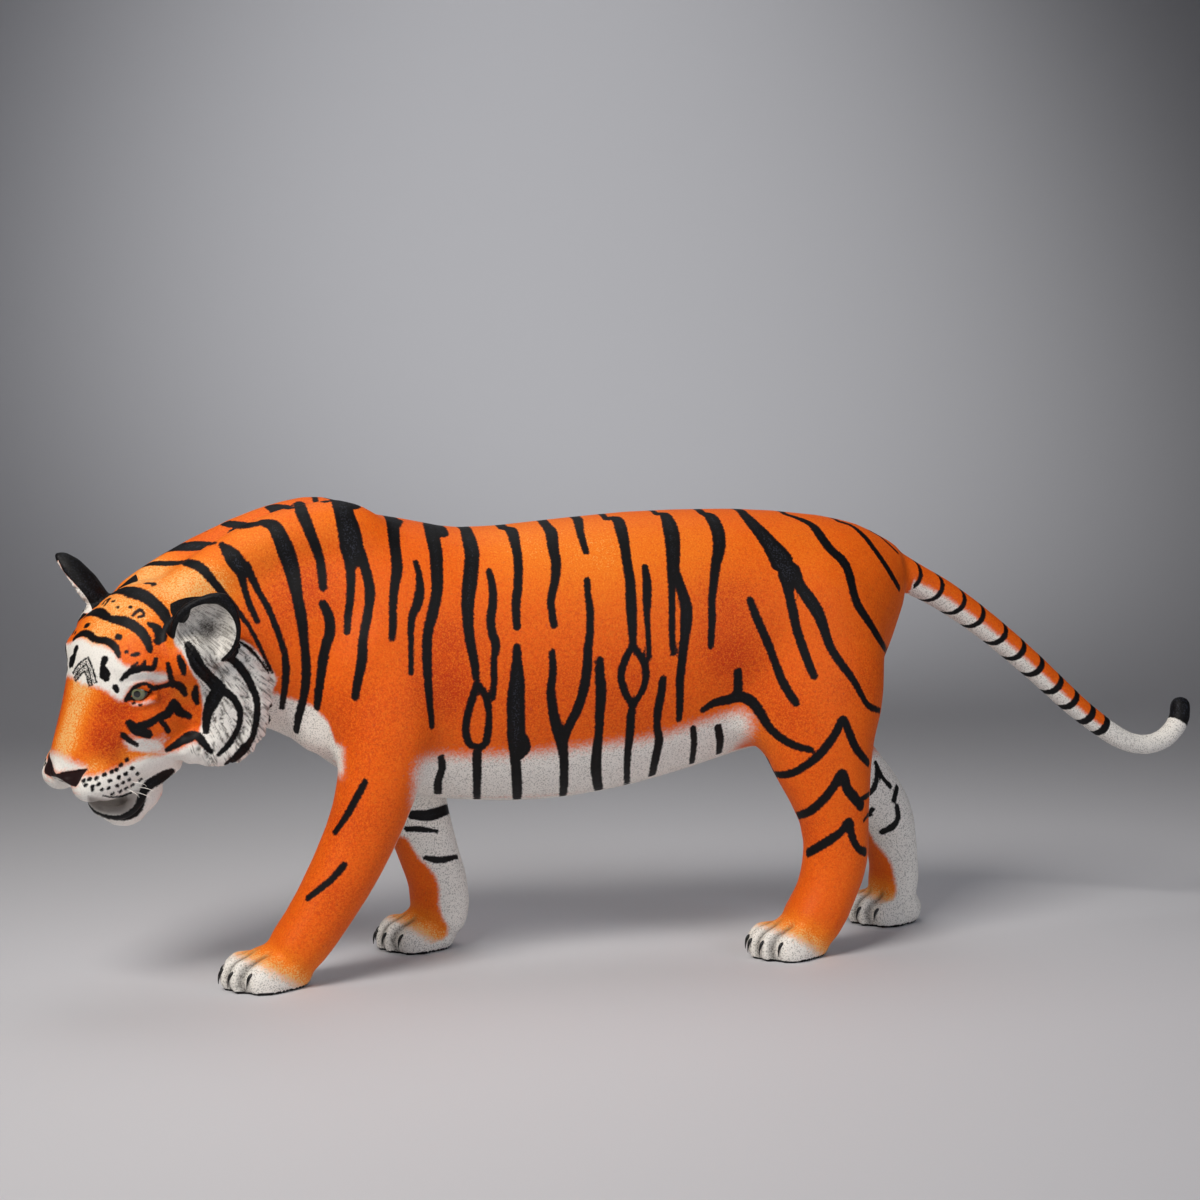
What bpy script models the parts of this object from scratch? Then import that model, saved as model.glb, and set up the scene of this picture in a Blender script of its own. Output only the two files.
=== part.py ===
"""Walking tiger figurine, cast in one piece and standing on its four paws.

Metres, +Z up. The tiger faces -X with its left side towards -Y, and the floor is z = 0.
The origin is on the floor, at the middle of the bounding box.
"""
import bpy
import bmesh
import numpy as np
from math import cos, pi, radians, sin
from mathutils import Matrix, Vector

# The driving size: floor to the top of the shoulder blades.
SHOULDER_HEIGHT = 0.125

# Every proportion below is in hundredths of the shoulder height.
UNIT = SHOULDER_HEIGHT / 100

# How soft the joins are, as the grid of a blend and its rounding passes: broad for the body's
# masses, closer for the head's, and fine for the finished skin with its ears, toes and locks.
BODY_BLEND = (1.1, 36)
HEAD_BLEND = (0.8, 14)
SKIN_BLEND = (0.74, 3)

# Faces kept on the finished cast.
FACE_BUDGET = 9400

# Points round a section, and sections between two stations of a loft.
ROUND = 36
SPAN = 4

# Ellipsoids: level rings, points round a ring, and the angle from a pole to the first ring.
BALL_RINGS = 13
BALL_ROUND = 24
POLE = radians(4)

# Block that cuts the soles flat: length, width and depth.
FLOOR_BLOCK = (400, 120, 20)

CAST_COLOUR = (0.76, 0.23, 0.03, 1.0)
CAST_ROUGHNESS = 0.7

# Trunk and neck, from the rump to the nape: x, y, top, bottom, half width, height of the widest
# place as a share of the depth.
TRUNK = [
    (72, 0, 88.0, 76.0, 4.5, 0.5),
    (66, 0, 91.4, 62.0, 11.0, 0.5),
    (59, 0, 94.4, 51.0, 16.0, 0.5),
    (48, 0, 96.2, 46.5, 18.5, 0.5),
    (34, 0, 97.2, 43.8, 19.3, 0.5),
    (20, 0, 97.2, 39.8, 19.8, 0.5),
    (6, 0, 96.6, 36.5, 20.3, 0.5),
    (-8, 0, 95.3, 34.6, 20.6, 0.5),
    (-20, 0, 94.1, 34.4, 20.5, 0.5),
    (-31, 0, 93.6, 35.2, 20.0, 0.5),
    (-42, 0, 95.6, 36.8, 19.2, 0.52),
    (-54, 0, 97.0, 41.4, 17.6, 0.53),
    (-64, -0.5, 94.8, 48.6, 16.2, 0.54),
    (-73, -1.5, 92.0, 52.6, 15.2, 0.55),
    (-82, -4.0, 88.8, 54.4, 14.6, 0.55),
    (-90, -8.5, 85.0, 54.0, 13.5, 0.55),
    (-96, -13, 80.0, 56.0, 11.0, 0.55),
]

# Limbs, from inside the trunk to the ankle: x, y, z, half size fore and aft, half size sideways.
# The left side is towards -Y.
LEFT_FORE = [
    (-45, -9.5, 74, 13.0, 8.0),
    (-45.5, -12.0, 62, 12.0, 8.8),
    (-47.3, -13.8, 51, 9.8, 8.2),
    (-49.4, -14.3, 41, 8.1, 7.3),
    (-52.8, -14.4, 31, 7.1, 6.7),
    (-57.2, -14.4, 22, 6.5, 6.5),
    (-61.0, -14.4, 15.5, 5.9, 6.4),
    (-65.0, -14.4, 9.5, 5.5, 6.5),
    (-68.8, -14.4, 5.5, 5.0, 6.6),
]
RIGHT_FORE = [
    (-45, 9.5, 74, 13.0, 8.0),
    (-44.5, 12.0, 62, 12.0, 8.8),
    (-42.0, 13.7, 51, 9.8, 8.2),
    (-39.5, 14.1, 41, 8.3, 7.3),
    (-36.8, 14.3, 31.5, 7.0, 6.6),
    (-34.0, 14.3, 22.5, 6.2, 6.2),
    (-31.6, 14.3, 15, 5.9, 6.2),
    (-31.0, 14.3, 9, 6.0, 6.6),
    (-32.5, 14.3, 5, 5.6, 6.8),
]
LEFT_HIND = [
    (45, -8.5, 76, 17.0, 8.5),
    (46.5, -11.5, 65, 16.6, 9.4),
    (47.2, -13.2, 54.5, 15.0, 9.4),
    (47.8, -14.0, 45.5, 12.2, 8.4),
    (49.8, -14.3, 36.5, 9.2, 7.2),
    (51.2, -14.4, 28.5, 7.0, 6.3),
    (51.4, -14.4, 21, 6.7, 6.0),
    (49.4, -14.4, 14, 6.0, 6.0),
    (46.6, -14.4, 8.5, 6.0, 6.5),
    (43.5, -14.4, 5, 5.6, 6.8),
]
RIGHT_HIND = [
    (45, 8.5, 76, 17.0, 8.5),
    (47.5, 11.5, 65, 16.6, 9.4),
    (51.0, 13.2, 54.5, 14.6, 9.4),
    (55.5, 13.9, 45.5, 11.2, 8.4),
    (62.5, 14.2, 38.5, 8.8, 7.0),
    (70.0, 14.3, 32.0, 7.0, 6.2),
    (74.8, 14.3, 25.5, 5.9, 5.8),
    (76.6, 14.3, 17.5, 5.0, 5.6),
    (77.2, 14.3, 10.5, 4.9, 6.0),
    (75.8, 14.3, 5.5, 5.0, 6.6),
]

# Paws: the middle of the sole, its length and width, and which way the toes point (degrees off -X).
PAWS = [
    ((-72.0, -14.4), 19.0, 15.4, 17),
    ((-36.0, 14.4), 17.6, 15.0, 12),
    ((41.2, -14.4), 18.6, 15.0, 16),
    ((75.2, 14.4), 17.8, 15.0, 12),
]
PAW_HEIGHT = 9.0

# Toes of a paw: place across it in toe widths, and how far ahead of its middle in paw lengths.
TOES = ((-1.5, 0.12), (-0.5, 0.26), (0.5, 0.29), (1.5, 0.19))
TOE_PITCH = 0.235

# Tail: x, y, z, radius.
TAIL = [
    (63, 0, 85.8, 5.2),
    (69, 0, 84.0, 4.4),
    (74.3, 0, 81.6, 3.7),
    (83.5, 0.7, 76.9, 3.45),
    (94.5, 1.6, 69.6, 3.15),
    (105.8, 2.7, 60.9, 2.95),
    (117.3, 3.8, 51.3, 2.7),
    (123.1, 4.3, 47.0, 2.55),
    (129.0, 4.9, 43.2, 2.4),
    (134.3, 5.5, 41.1, 2.3),
    (139.4, 6.1, 40.9, 2.3),
    (144.0, 6.7, 42.8, 2.35),
    (147.0, 7.4, 46.2, 2.4),
    (147.6, 7.8, 49.4, 2.4),
]

# Muscles and bones that swell the trunk: centre, half sizes, degrees turned about Y; both sides.
SWELLS = [
    ((-57, 7.0, 86.5), (14, 6.0, 13.8), 14),
    ((-49, 12.6, 64), (14, 8.2, 18), 8),
    ((47, 11.0, 70), (17, 9.6, 19), 0),
    ((36, 12.8, 57), (11, 6.5, 12), -25),
    ((-59, 7.0, 53), (8, 7.0, 7), 0),
]

# Crests that run along the neck from the shoulder blades to the skull: x, y, z, radius.
LEFT_CREST = [
    (-50, -6.5, 89.0, 6.0),
    (-58, -7.0, 92.0, 6.4),
    (-67, -7.4, 91.0, 6.2),
    (-77, -9.0, 86.6, 6.0),
    (-88, -13.0, 79.8, 5.6),
]
RIGHT_CREST = [
    (-50, 6.5, 89.5, 6.0),
    (-58, 7.0, 93.2, 6.4),
    (-67, 6.6, 92.0, 6.2),
    (-77, 4.6, 88.4, 6.0),
    (-88, 0.6, 83.2, 5.8),
    (-97, -4.0, 78.2, 5.2),
]

# The head's own frame: forward, left and up from a point in the skull, turned towards the left.
HEAD_PLACE = (-88.0, -6.0, 66.0)
HEAD_TURN = 37
HEAD_TILT = 11

# The face, as level sections from the crown down to the lip: up, front, middle, back, half width.
FACE = [
    (15.0, 14.0, 8.0, 2.0, 4.0),
    (12.5, 18.5, 9.0, -4.0, 9.5),
    (8.5, 22.6, 10.0, -6.0, 12.6),
    (4.0, 25.0, 11.0, -6.0, 13.4),
    (0.5, 25.5, 12.0, -5.0, 12.2),
    (-4.0, 26.1, 13.0, -2.0, 11.0),
    (-9.0, 27.2, 14.0, 0.0, 10.0),
    (-14.0, 28.5, 15.0, 2.0, 9.2),
    (-18.0, 29.3, 16.0, 3.0, 8.4),
    (-20.5, 28.4, 16.0, 4.0, 7.4),
    (-23.0, 25.6, 15.0, 5.0, 6.8),
    (-24.6, 22.0, 14.0, 7.0, 5.0),
]
FACE_SQUARE = 2.5

# Middle line forms of the head: centre (forward, left, up), half sizes, degrees pitched nose down.
HEAD_FORMS = [
    ((6.5, 0, 3.1), (17.0, 15.2, 15.0), 0),
    ((0.0, 0, -4.0), (13.0, 15.0, 14.0), 0),
    ((11.6, 0, -30.0), (4.8, 4.8, 3.2), 0),
    ((9.0, 0, -26.0), (6.0, 6.6, 4.0), 40),
    ((3.0, 0, -13.0), (9.0, 9.0, 5.5), 15),
]

# Paired forms of the head, given for the left: brow, cheekbone, whisker pad, jowl, ruff and the
# fur below the ear.
HEAD_PAIRS = [
    ((17.8, 8.0, 3.4), (6.0, 4.8, 3.2), 10),
    ((12.4, 8.8, -7.6), (9.5, 4.8, 8.5), 10),
    ((21.8, 5.0, -20.6), (6.4, 5.0, 4.6), 0),
    ((11.5, 7.4, -14.8), (9.0, 4.8, 5.2), 15),
    ((0.6, 13.2, -4.3), (8.2, 6.5, 12.0), 0),
    ((10.4, 13.6, 5.0), (6.5, 4.6, 5.5), 0),
]

# Small forms that keep their edges, given for the left: the eyeball.
EYE_MIDDLE = (18.9, 8.7, -1.7)
EYE_RADIUS = 2.5

# Nose leather, on the middle line.
NOSE = ((27.0, 0, -19.6), (2.9, 3.3, 2.4), 20)

# Lower lip, from one corner of the mouth round to the middle: forward, left, up, radius.
LOWER_LIP = [
    (7.0, 9.4, -18.0, 1.1),
    (11.5, 8.9, -20.8, 1.3),
    (13.9, 8.0, -23.4, 1.4),
    (14.8, 6.9, -26.0, 1.4),
    (15.2, 5.2, -28.0, 1.4),
    (16.2, 2.6, -29.2, 1.4),
    (16.5, 0.0, -29.4, 1.4),
]

# Ruff: locks that lie from the front line to the back line, in two layers, given for the left.
RUFF_FRONT = [(8.0, 14.6, 8.0), (4.6, 16.2, 2.0), (3.6, 16.8, -4.0), (5.0, 16.4, -8.5),
              (9.0, 14.4, -11.6), (13.0, 11.0, -12.6)]
RUFF_BACK = [(0.5, 16.8, 10.0), (-4.5, 18.6, 3.5), (-6.0, 19.6, -3.0), (-4.6, 19.7, -10.5),
             (0.6, 18.3, -15.2), (7.5, 13.6, -15.2)]
RUFF_LOCKS = 12
LOCK_RADII = (1.5, 2.3, 2.0, 1.0)

# Ears, each a cup turned its own way: middle (forward, left, up), half sizes across, along and
# deep, the way it stands and the way it opens. The left one faces the side, the right one ahead.
EARS = [
    ((10.7, 16.8, 11.2), (7.1, 7.4, 5.2), (-0.25, 0.25, 0.93), (0.55, 0.82, -0.05)),
    ((13.0, -17.8, 11.0), (4.4, 8.8, 4.4), (0.48, -0.43, 0.77), (0.55, -0.50, -0.65)),
]
EAR_WALL = 0.26

# The middle of the figure's box, which goes to the origin: x, y.
BOX_MIDDLE = (16.82, -3.3)


def curve_through(stations, steps=SPAN):
    """Rows read from a smooth curve through the stations (Catmull-Rom)."""
    rows = np.array(stations, float)
    padded = np.vstack([2 * rows[0] - rows[1], rows, 2 * rows[-1] - rows[-2]])
    out = []
    for i in range(1, len(padded) - 2):
        a, b, c, d = padded[i - 1:i + 3]
        for t in np.arange(steps) / steps:
            out.append(0.5 * (2 * b + (c - a) * t + (2 * a - 5 * b + 4 * c - d) * t * t
                              + (3 * b - a - 3 * c + d) * t ** 3))
    out.append(rows[-1])
    return np.array(out)


def skin(bm, rings):
    """A closed tube through the rings, with a fan over each end."""
    loops = [[bm.verts.new(p * UNIT) for p in ring] for ring in rings]
    count = len(loops[0])
    for one, two in zip(loops, loops[1:]):
        for i in range(count):
            j = (i + 1) % count
            bm.faces.new((one[i], one[j], two[j], two[i]))
    for ring, loop, turn in ((rings[0], loops[0], -1), (rings[-1], loops[-1], 1)):
        hub = bm.verts.new(sum(ring, Vector()) / count * UNIT)
        for i in range(count):
            bm.faces.new((loop[i], loop[(i + 1) % count], hub)[::turn])


def path_axes(points):
    """Unit tangents of a path."""
    return [Vector(t).normalized() for t in np.gradient(points, axis=0)]


def drawn_in(size, blend):
    """The size to start from, so that the blend's rounding passes bring it down to the size."""
    grid, passes = blend
    return (size * size + passes * grid * grid / 4) ** 0.5


def add_trunk(bm):
    """Trunk and neck: upright oval sections that turn with the line of the back."""
    rows = curve_through(TRUNK)
    rings = []
    for row, tangent in zip(rows, path_axes(rows[:, :2] @ np.eye(2, 3))):
        x, y, top, bottom, half, share = row
        side = Vector((0, 0, 1)).cross(tangent).normalized()
        middle = bottom + share * (top - bottom)
        rise, fall = (drawn_in(size, BODY_BLEND) for size in (top - middle, middle - bottom))
        half = drawn_in(half, BODY_BLEND)
        ring = []
        for i in range(ROUND):
            a = 2 * pi * i / ROUND
            height = (rise if sin(a) > 0 else fall) * sin(a)
            ring.append(Vector((x, y, middle + height)) + side * half * cos(a))
        rings.append(ring)
    skin(bm, rings)


def add_limb(bm, stations, blend=BODY_BLEND):
    """A limb: ovals square to the limb's own line."""
    rows = curve_through(stations)
    rings = []
    for row, tangent in zip(rows, path_axes(rows[:, :3])):
        x, y, z, fore, half = row
        side = (Vector((0, 1, 0)) - tangent * tangent.y).normalized()
        front = side.cross(tangent) * drawn_in(fore, blend)
        side *= drawn_in(half, blend)
        rings.append([Vector((x, y, z)) + side * cos(2 * pi * i / ROUND)
                      + front * sin(2 * pi * i / ROUND) for i in range(ROUND)])
    skin(bm, rings)


def add_rope(bm, stations, blend=SKIN_BLEND):
    """A round form along a line, such as the tail, with round ends."""
    add_limb(bm, [tuple(row) + (row[3],) for row in stations], blend)
    for end in (stations[0], stations[-1]):
        add_ball(bm, end[:3], (drawn_in(end[3], blend),) * 3)


def add_ball(bm, centre, half_sizes, turn=Matrix()):
    """An ellipsoid."""
    place = Matrix.Translation(centre) @ turn @ Matrix.Diagonal((*half_sizes, 1))
    rings = []
    for rise in np.linspace(POLE - pi / 2, pi / 2 - POLE, BALL_RINGS):
        rings.append([place @ Vector((cos(rise) * cos(a), cos(rise) * sin(a), sin(rise)))
                      for a in np.arange(BALL_ROUND) * 2 * pi / BALL_ROUND])
    skin(bm, rings)


def head_frame():
    """Matrix from the head's own frame (forward, left, up) to the figure's."""
    base = Matrix(((-1, 0, 0), (0, -1, 0), (0, 0, 1))).to_4x4()
    turn = Matrix.Rotation(radians(HEAD_TURN), 4, "Z")
    tilt = Matrix.Rotation(radians(-HEAD_TILT), 4, "X")
    return Matrix.Translation(HEAD_PLACE) @ turn @ base @ tilt


def add_head_ball(bm, frame, centre, half_sizes, pitch=0):
    """An ellipsoid in the head's frame, pitched nose down."""
    turn = frame.to_3x3().to_4x4() @ Matrix.Rotation(radians(pitch), 4, "Y")
    add_ball(bm, frame @ Vector(centre), half_sizes, turn)


def add_face(bm, frame):
    """Forehead, bridge and muzzle: level sections, fuller than an ellipse."""
    rings = []
    for up, front, middle, back, half in curve_through(FACE):
        ring = []
        for i in range(ROUND):
            c, s = cos(2 * pi * i / ROUND), sin(2 * pi * i / ROUND)
            reach = (front if c > 0 else back) - middle
            forward = middle + reach * abs(c) ** (2 / FACE_SQUARE)
            left = half * np.sign(s) * abs(s) ** (2 / FACE_SQUARE)
            ring.append(frame @ Vector((forward, left, up)))
        rings.append(ring)
    skin(bm, rings)


def in_figure(frame, rows, side):
    """Rows of forward, left, up and more, turned from the head's frame to the figure's."""
    out = []
    for forward, left, up, *more in rows:
        point = frame @ Vector((forward, side * left, up))
        out.append(tuple(point) + tuple(more))
    return out


def add_ruff(bm, frame, side):
    """Locks of the ruff in two layers, each from the cheek back to the edge of the ruff."""
    front = curve_through(RUFF_FRONT, RUFF_LOCKS)
    back = curve_through(RUFF_BACK, RUFF_LOCKS)
    spans = len(RUFF_FRONT) - 1
    for layer, (start, end) in enumerate(((0.0, 0.68), (0.45, 1.0))):
        for i in range(RUFF_LOCKS - layer):
            at = round((i + 0.5 * layer) * spans * RUFF_LOCKS / (RUFF_LOCKS - 1))
            root, tip = front[at], back[at]
            rows = []
            for share, radius in zip(np.linspace(start, end, len(LOCK_RADII)), LOCK_RADII):
                rows.append(tuple(root + (tip - root) * share) + (radius,))
            add_rope(bm, in_figure(frame, rows, side))


def add_ear(bm, frame, middle, half_sizes, stands, opens):
    """An ear: a rounded cup with a wall, a little pointed on top."""
    up = Vector(stands).normalized()
    opening = Vector(opens)
    opening = (opening - up * opening.dot(up)).normalized()
    axes = Matrix((up.cross(opening), up, opening)).transposed().to_4x4()
    place = frame @ Matrix.Translation(middle) @ axes
    across, along, deep = half_sizes
    depths = np.radians([0, 20, 40, 60, 80, 98])
    rings = []
    for depth, inside in [(d, False) for d in depths] + [(d, True) for d in depths[::-1]]:
        reach = max(sin(depth), 0.02) * (1 - EAR_WALL * inside)
        back = -cos(depth) * (1 - 1.6 * EAR_WALL * inside)
        ring = []
        for i in range(ROUND):
            c, s = cos(2 * pi * i / ROUND), sin(2 * pi * i / ROUND)
            peak = 1 + 0.22 * max(s, 0) ** 6
            ring.append(place @ Vector((across * reach * c, along * reach * peak * s, deep * back)))
        rings.append(ring)
    skin(bm, rings)


def add_paw(bm, middle, length, width, turn):
    """A paw: a broad pad, and four toes side by side in front of it."""
    spin = Matrix.Rotation(radians(turn), 4, "Z")
    origin = Vector((middle[0], middle[1], 0))
    pad = origin + spin @ Vector((length * 0.06, 0, PAW_HEIGHT * 0.36))
    add_ball(bm, pad, (length * 0.44, width * 0.46, PAW_HEIGHT * 0.62), spin)
    for place, ahead in TOES:
        toe = origin + spin @ Vector((-length * ahead, place * width * TOE_PITCH, PAW_HEIGHT * 0.30))
        add_ball(bm, toe, (length * 0.25, width * 0.15, PAW_HEIGHT * 0.50), spin)


def blended(name, bm, blend, collection):
    """The mesh of overlapping closed forms, blended into one skin and rounded."""
    grid, passes = blend
    bmesh.ops.recalc_face_normals(bm, faces=bm.faces)
    rough = bpy.data.objects.new(name, bpy.data.meshes.new(name))
    bm.to_mesh(rough.data)
    bm.free()
    collection.objects.link(rough)
    skin_over = rough.modifiers.new("blend the forms", "REMESH")
    skin_over.mode = "VOXEL"
    skin_over.voxel_size = grid * UNIT
    skin_over.adaptivity = 0
    rounding = rough.modifiers.new("round the joins", "SMOOTH")
    rounding.factor = 0.5
    rounding.iterations = passes
    graph = bpy.context.evaluated_depsgraph_get()
    mesh = bpy.data.meshes.new_from_object(rough.evaluated_get(graph))
    bpy.data.objects.remove(rough, do_unlink=True)
    return mesh


def body_masses(collection):
    """Trunk, neck and limbs without the paws."""
    bm = bmesh.new()
    add_trunk(bm)
    for limb in (LEFT_FORE, RIGHT_FORE, LEFT_HIND, RIGHT_HIND):
        add_limb(bm, limb)
    for crest in (LEFT_CREST, RIGHT_CREST):
        add_rope(bm, crest, BODY_BLEND)
    for (x, y, z), half_sizes, lean in SWELLS:
        for side in (-1, 1):
            add_ball(bm, (x, side * y, z), half_sizes, Matrix.Rotation(radians(lean), 4, "Y"))
    return blended("body_masses", bm, BODY_BLEND, collection)


def head_masses(frame, collection):
    """Skull, face, cheeks and jaw."""
    bm = bmesh.new()
    add_face(bm, frame)
    for centre, half_sizes, pitch in HEAD_FORMS:
        add_head_ball(bm, frame, centre, half_sizes, pitch)
    for (forward, left, up), half_sizes, pitch in HEAD_PAIRS:
        for side in (-1, 1):
            add_head_ball(bm, frame, (forward, side * left, up), half_sizes, pitch)
    return blended("head_masses", bm, HEAD_BLEND, collection)


def whole_figure(collection):
    """The masses with the paws, tail, ears, eyes, nose, lip and ruff, as one skin."""
    frame = head_frame()
    bm = bmesh.new()
    for paw in PAWS:
        add_paw(bm, *paw)
    add_rope(bm, TAIL)
    add_head_ball(bm, frame, *NOSE)
    for side in (-1, 1):
        forward, left, up = EYE_MIDDLE
        add_head_ball(bm, frame, (forward, side * left, up), (EYE_RADIUS,) * 3)
        add_rope(bm, in_figure(frame, LOWER_LIP, side))
        add_ruff(bm, frame, side)
    for ear in EARS:
        add_ear(bm, frame, *ear)
    for mesh in (body_masses(collection), head_masses(frame, collection)):
        bm.from_mesh(mesh)
        bpy.data.meshes.remove(mesh)
    mesh = blended("tiger", bm, SKIN_BLEND, collection)
    mesh.transform(Matrix.Translation(Vector((*BOX_MIDDLE, 0)) * -UNIT))
    return mesh


def cast_material():
    """Matte orange paint on the cast."""
    material = bpy.data.materials.new("painted cast")
    material.use_nodes = True
    shader = material.node_tree.nodes["Principled BSDF"]
    shader.inputs["Base Color"].default_value = CAST_COLOUR
    shader.inputs["Roughness"].default_value = CAST_ROUGHNESS
    return material


def floor_cutter(collection):
    """A block under the floor that cuts the soles flat."""
    floor = bpy.data.objects.new("floor_cut", bpy.data.meshes.new("floor_cut"))
    bm = bmesh.new()
    size = Matrix.Diagonal(Vector((*FLOOR_BLOCK, 1 / UNIT)) * UNIT)
    drop = Matrix.Translation((0, 0, -FLOOR_BLOCK[2] / 2 * UNIT))
    bmesh.ops.create_cube(bm, size=1, matrix=drop @ size)
    bm.to_mesh(floor.data)
    bm.free()
    collection.objects.link(floor)
    floor.hide_render = True
    floor.display_type = "WIRE"
    return floor


def main():
    for old in list(bpy.data.objects):
        bpy.data.objects.remove(old, do_unlink=True)
    figure = bpy.data.collections.new("tiger_figurine")
    cutters = bpy.data.collections.new("cutters")
    for collection in (figure, cutters):
        bpy.context.scene.collection.children.link(collection)
    tiger = bpy.data.objects.new("tiger", whole_figure(figure))
    figure.objects.link(tiger)
    tiger.data.materials.clear()
    tiger.data.materials.append(cast_material())

    triangles = sum(len(face.vertices) - 2 for face in tiger.data.polygons)
    facets = tiger.modifiers.new("facets", "DECIMATE")
    facets.ratio = FACE_BUDGET / triangles
    soles = tiger.modifiers.new("flat soles", "BOOLEAN")
    soles.operation = "DIFFERENCE"
    soles.object = floor_cutter(cutters)


main()
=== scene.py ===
"""Looks of the walking tiger figurine: a resin cast painted by hand, with its eyes, claws and whiskers."""
from math import cos, pi, radians, sin

import bmesh
import bpy
import numpy as np
from bpy.props import FloatProperty, FloatVectorProperty, PointerProperty
from mathutils import Matrix, Vector
from mathutils.bvhtree import BVHTree
from mathutils.kdtree import KDTree


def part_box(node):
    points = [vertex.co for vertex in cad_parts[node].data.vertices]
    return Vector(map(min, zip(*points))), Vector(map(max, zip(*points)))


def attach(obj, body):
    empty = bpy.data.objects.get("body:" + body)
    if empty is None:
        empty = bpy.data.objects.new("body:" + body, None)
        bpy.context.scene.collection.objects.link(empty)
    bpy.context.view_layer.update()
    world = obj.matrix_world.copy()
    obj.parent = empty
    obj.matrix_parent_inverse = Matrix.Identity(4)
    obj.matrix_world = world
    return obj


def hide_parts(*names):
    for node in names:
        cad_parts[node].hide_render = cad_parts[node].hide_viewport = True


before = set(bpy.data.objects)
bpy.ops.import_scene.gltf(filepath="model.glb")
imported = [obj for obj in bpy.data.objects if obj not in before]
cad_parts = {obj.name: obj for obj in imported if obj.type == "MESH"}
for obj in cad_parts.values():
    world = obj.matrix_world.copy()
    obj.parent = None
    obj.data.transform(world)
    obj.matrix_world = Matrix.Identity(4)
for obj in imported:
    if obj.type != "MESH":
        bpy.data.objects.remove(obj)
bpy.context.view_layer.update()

bl_info = {
    "name": "Tiger figurine",
    "version": (1, 0, 0),
    "blender": (4, 5, 0),
    "location": "View3D > Sidebar > Tiger",
    "description": "Builds the painted tiger figurine over its packed solid",
    "category": "Add Mesh",
}

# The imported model's box, and the tiger's own measure: hundredths of its height, from a point on
# the floor under its chest. It faces -X, and its left side is towards -Y.
LOW, HIGH = (Vector(corner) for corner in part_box("tiger"))
SHARE = (HIGH.z - LOW.z) / 100
STANCE = Vector((16.82, -3.3, 0))
MM = 0.001

# The head's own frame: forward, left and up from a point in the skull, as the solid has it.
HEAD_PLACE = (-88.0, -6.0, 66.0)
HEAD_TURN = 37
HEAD_TILT = 11

# The neck is parted behind the ruff, square to the head's forward line and within the head's reach,
# so that the head can have the finer grid. A narrow band joins the two skins again. Some more of the
# neck is kept while the head is shaped, first on a coarser grid.
NECK_BACK = -9.5
NECK_GAP = 0.8
NECK_SPARE = 6
NECK_LOWEST = 24.0
HEAD_REACH = 43.0
FIRST_GRID = 1.2

# The photograph's view: the camera's place, turn about Z, dip below level, lens and frame.
VIEW_FROM = (-121.9, -462.0, 105.3)
VIEW_TURN = radians(-15)
VIEW_DIP = radians(3.33)
FILM = 36.0
LENS = 65.97
FRAME_PIXELS = 1200


def at(x, y, z):
    """A point of the tiger's own measure, in the row frame."""
    return (Vector((x, y, z)) - STANCE) * SHARE


def linear(code):
    """The linear colour of an sRGB hex value."""
    channels = [int(code[i:i + 2], 16) / 255 for i in (1, 3, 5)]
    return tuple(c / 12.92 if c <= 0.04045 else ((c + 0.055) / 1.055) ** 2.4 for c in channels)


def colour(name, description, code):
    return FloatVectorProperty(name=name, description=description, subtype="COLOR", size=3,
                               min=0, max=1, default=linear(code))


def length(name, description, metres):
    return FloatProperty(name=name, description=description, subtype="DISTANCE", unit="LENGTH",
                         default=metres)


class TigerSizes(bpy.types.PropertyGroup):
    """Sizes that a user would change."""
    body_grid: length("Body grid", "Grid of the fine skin on the body", 0.9 * MM)
    head_grid: length("Head grid", "Grid of the fine skin on the head", 0.42 * MM)
    edge: length("Stripe edge", "How soft a brushed stripe's edge is", 0.22 * MM)
    strand: length("Fur strand", "Distance from one carved strand of the ruff to the next", 1.5 * MM)
    carving: length("Fur carving", "Depth of the carved strands", 0.6 * MM)
    grain: length("Paint grain", "Size of the sprayed paint's grain", 0.7 * MM)
    toe_groove: length("Toe groove", "Depth of the groove between two toes", 0.45 * MM)
    claw_ahead: length("Claw reach", "How far a claw stands out before it bends down", 1.6 * MM)
    claw_length: length("Claw length", "How far a claw drops from its root to its tip", 3.4 * MM)
    claw_width: length("Claw width", "Thickness of a claw at its root", 1.15 * MM)
    whisker_length: length("Whisker length", "Length of a whisker", 4.5 * MM)
    whisker_drop: length("Whisker drop", "How far a whisker's tip hangs below its root", 0.9 * MM)
    whisker_width: length("Whisker thickness", "Thickness of a whisker at its root", 0.34 * MM)


class TigerColours(bpy.types.PropertyGroup):
    """Paint colours."""
    orange: colour("Orange", "Main coat", "#E75C05")
    # Deep orange is partly sprayed paint and partly painted shade in the hollows; pale orange and cream are
    # partly sprayed paint and partly a painted highlight where the light falls most.
    deep: colour("Deep orange", "Sprayed shade in the hollows", "#BF3400")
    pale: colour("Pale orange", "Sprayed light along the back", "#F4841C")
    cream: colour("Cream", "Where the pale orange turns to white", "#F3BD74")
    white: colour("White", "Belly, cheeks and toes", "#F2EEE6")
    # The grey greys the white's specks and painted hairs, and is painted shade in the carved grooves. The
    # dark is painted shade: in the mouth, between the toes and in the ears' cups.
    wash: colour("Grey wash", "Thin grey in the grooves and specks of the white", "#6A655E")
    shade: colour("Dark wash", "Thin black in the deepest grooves", "#35302D")
    black: colour("Black", "Stripes", "#040304")
    maroon: colour("Maroon", "Thin black over orange at a stripe's edge", "#3A0A03")
    # Painted sheen: blue grey specks where the black is broad.
    painted_sheen: colour("Blue grey", "Specks where the black is broad", "#4A4E5C")
    nose: colour("Nose", "Nose leather", "#231111")
    pink: colour("Nose rim", "Pinkish grey below the nostril", "#9C8078")
    # The mouth's grey is painted shade over its inside.
    mouth: colour("Mouth", "Inside of the mouth", "#A79F99")
    iris: colour("Iris", "Eye", "#6F7355")


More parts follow.
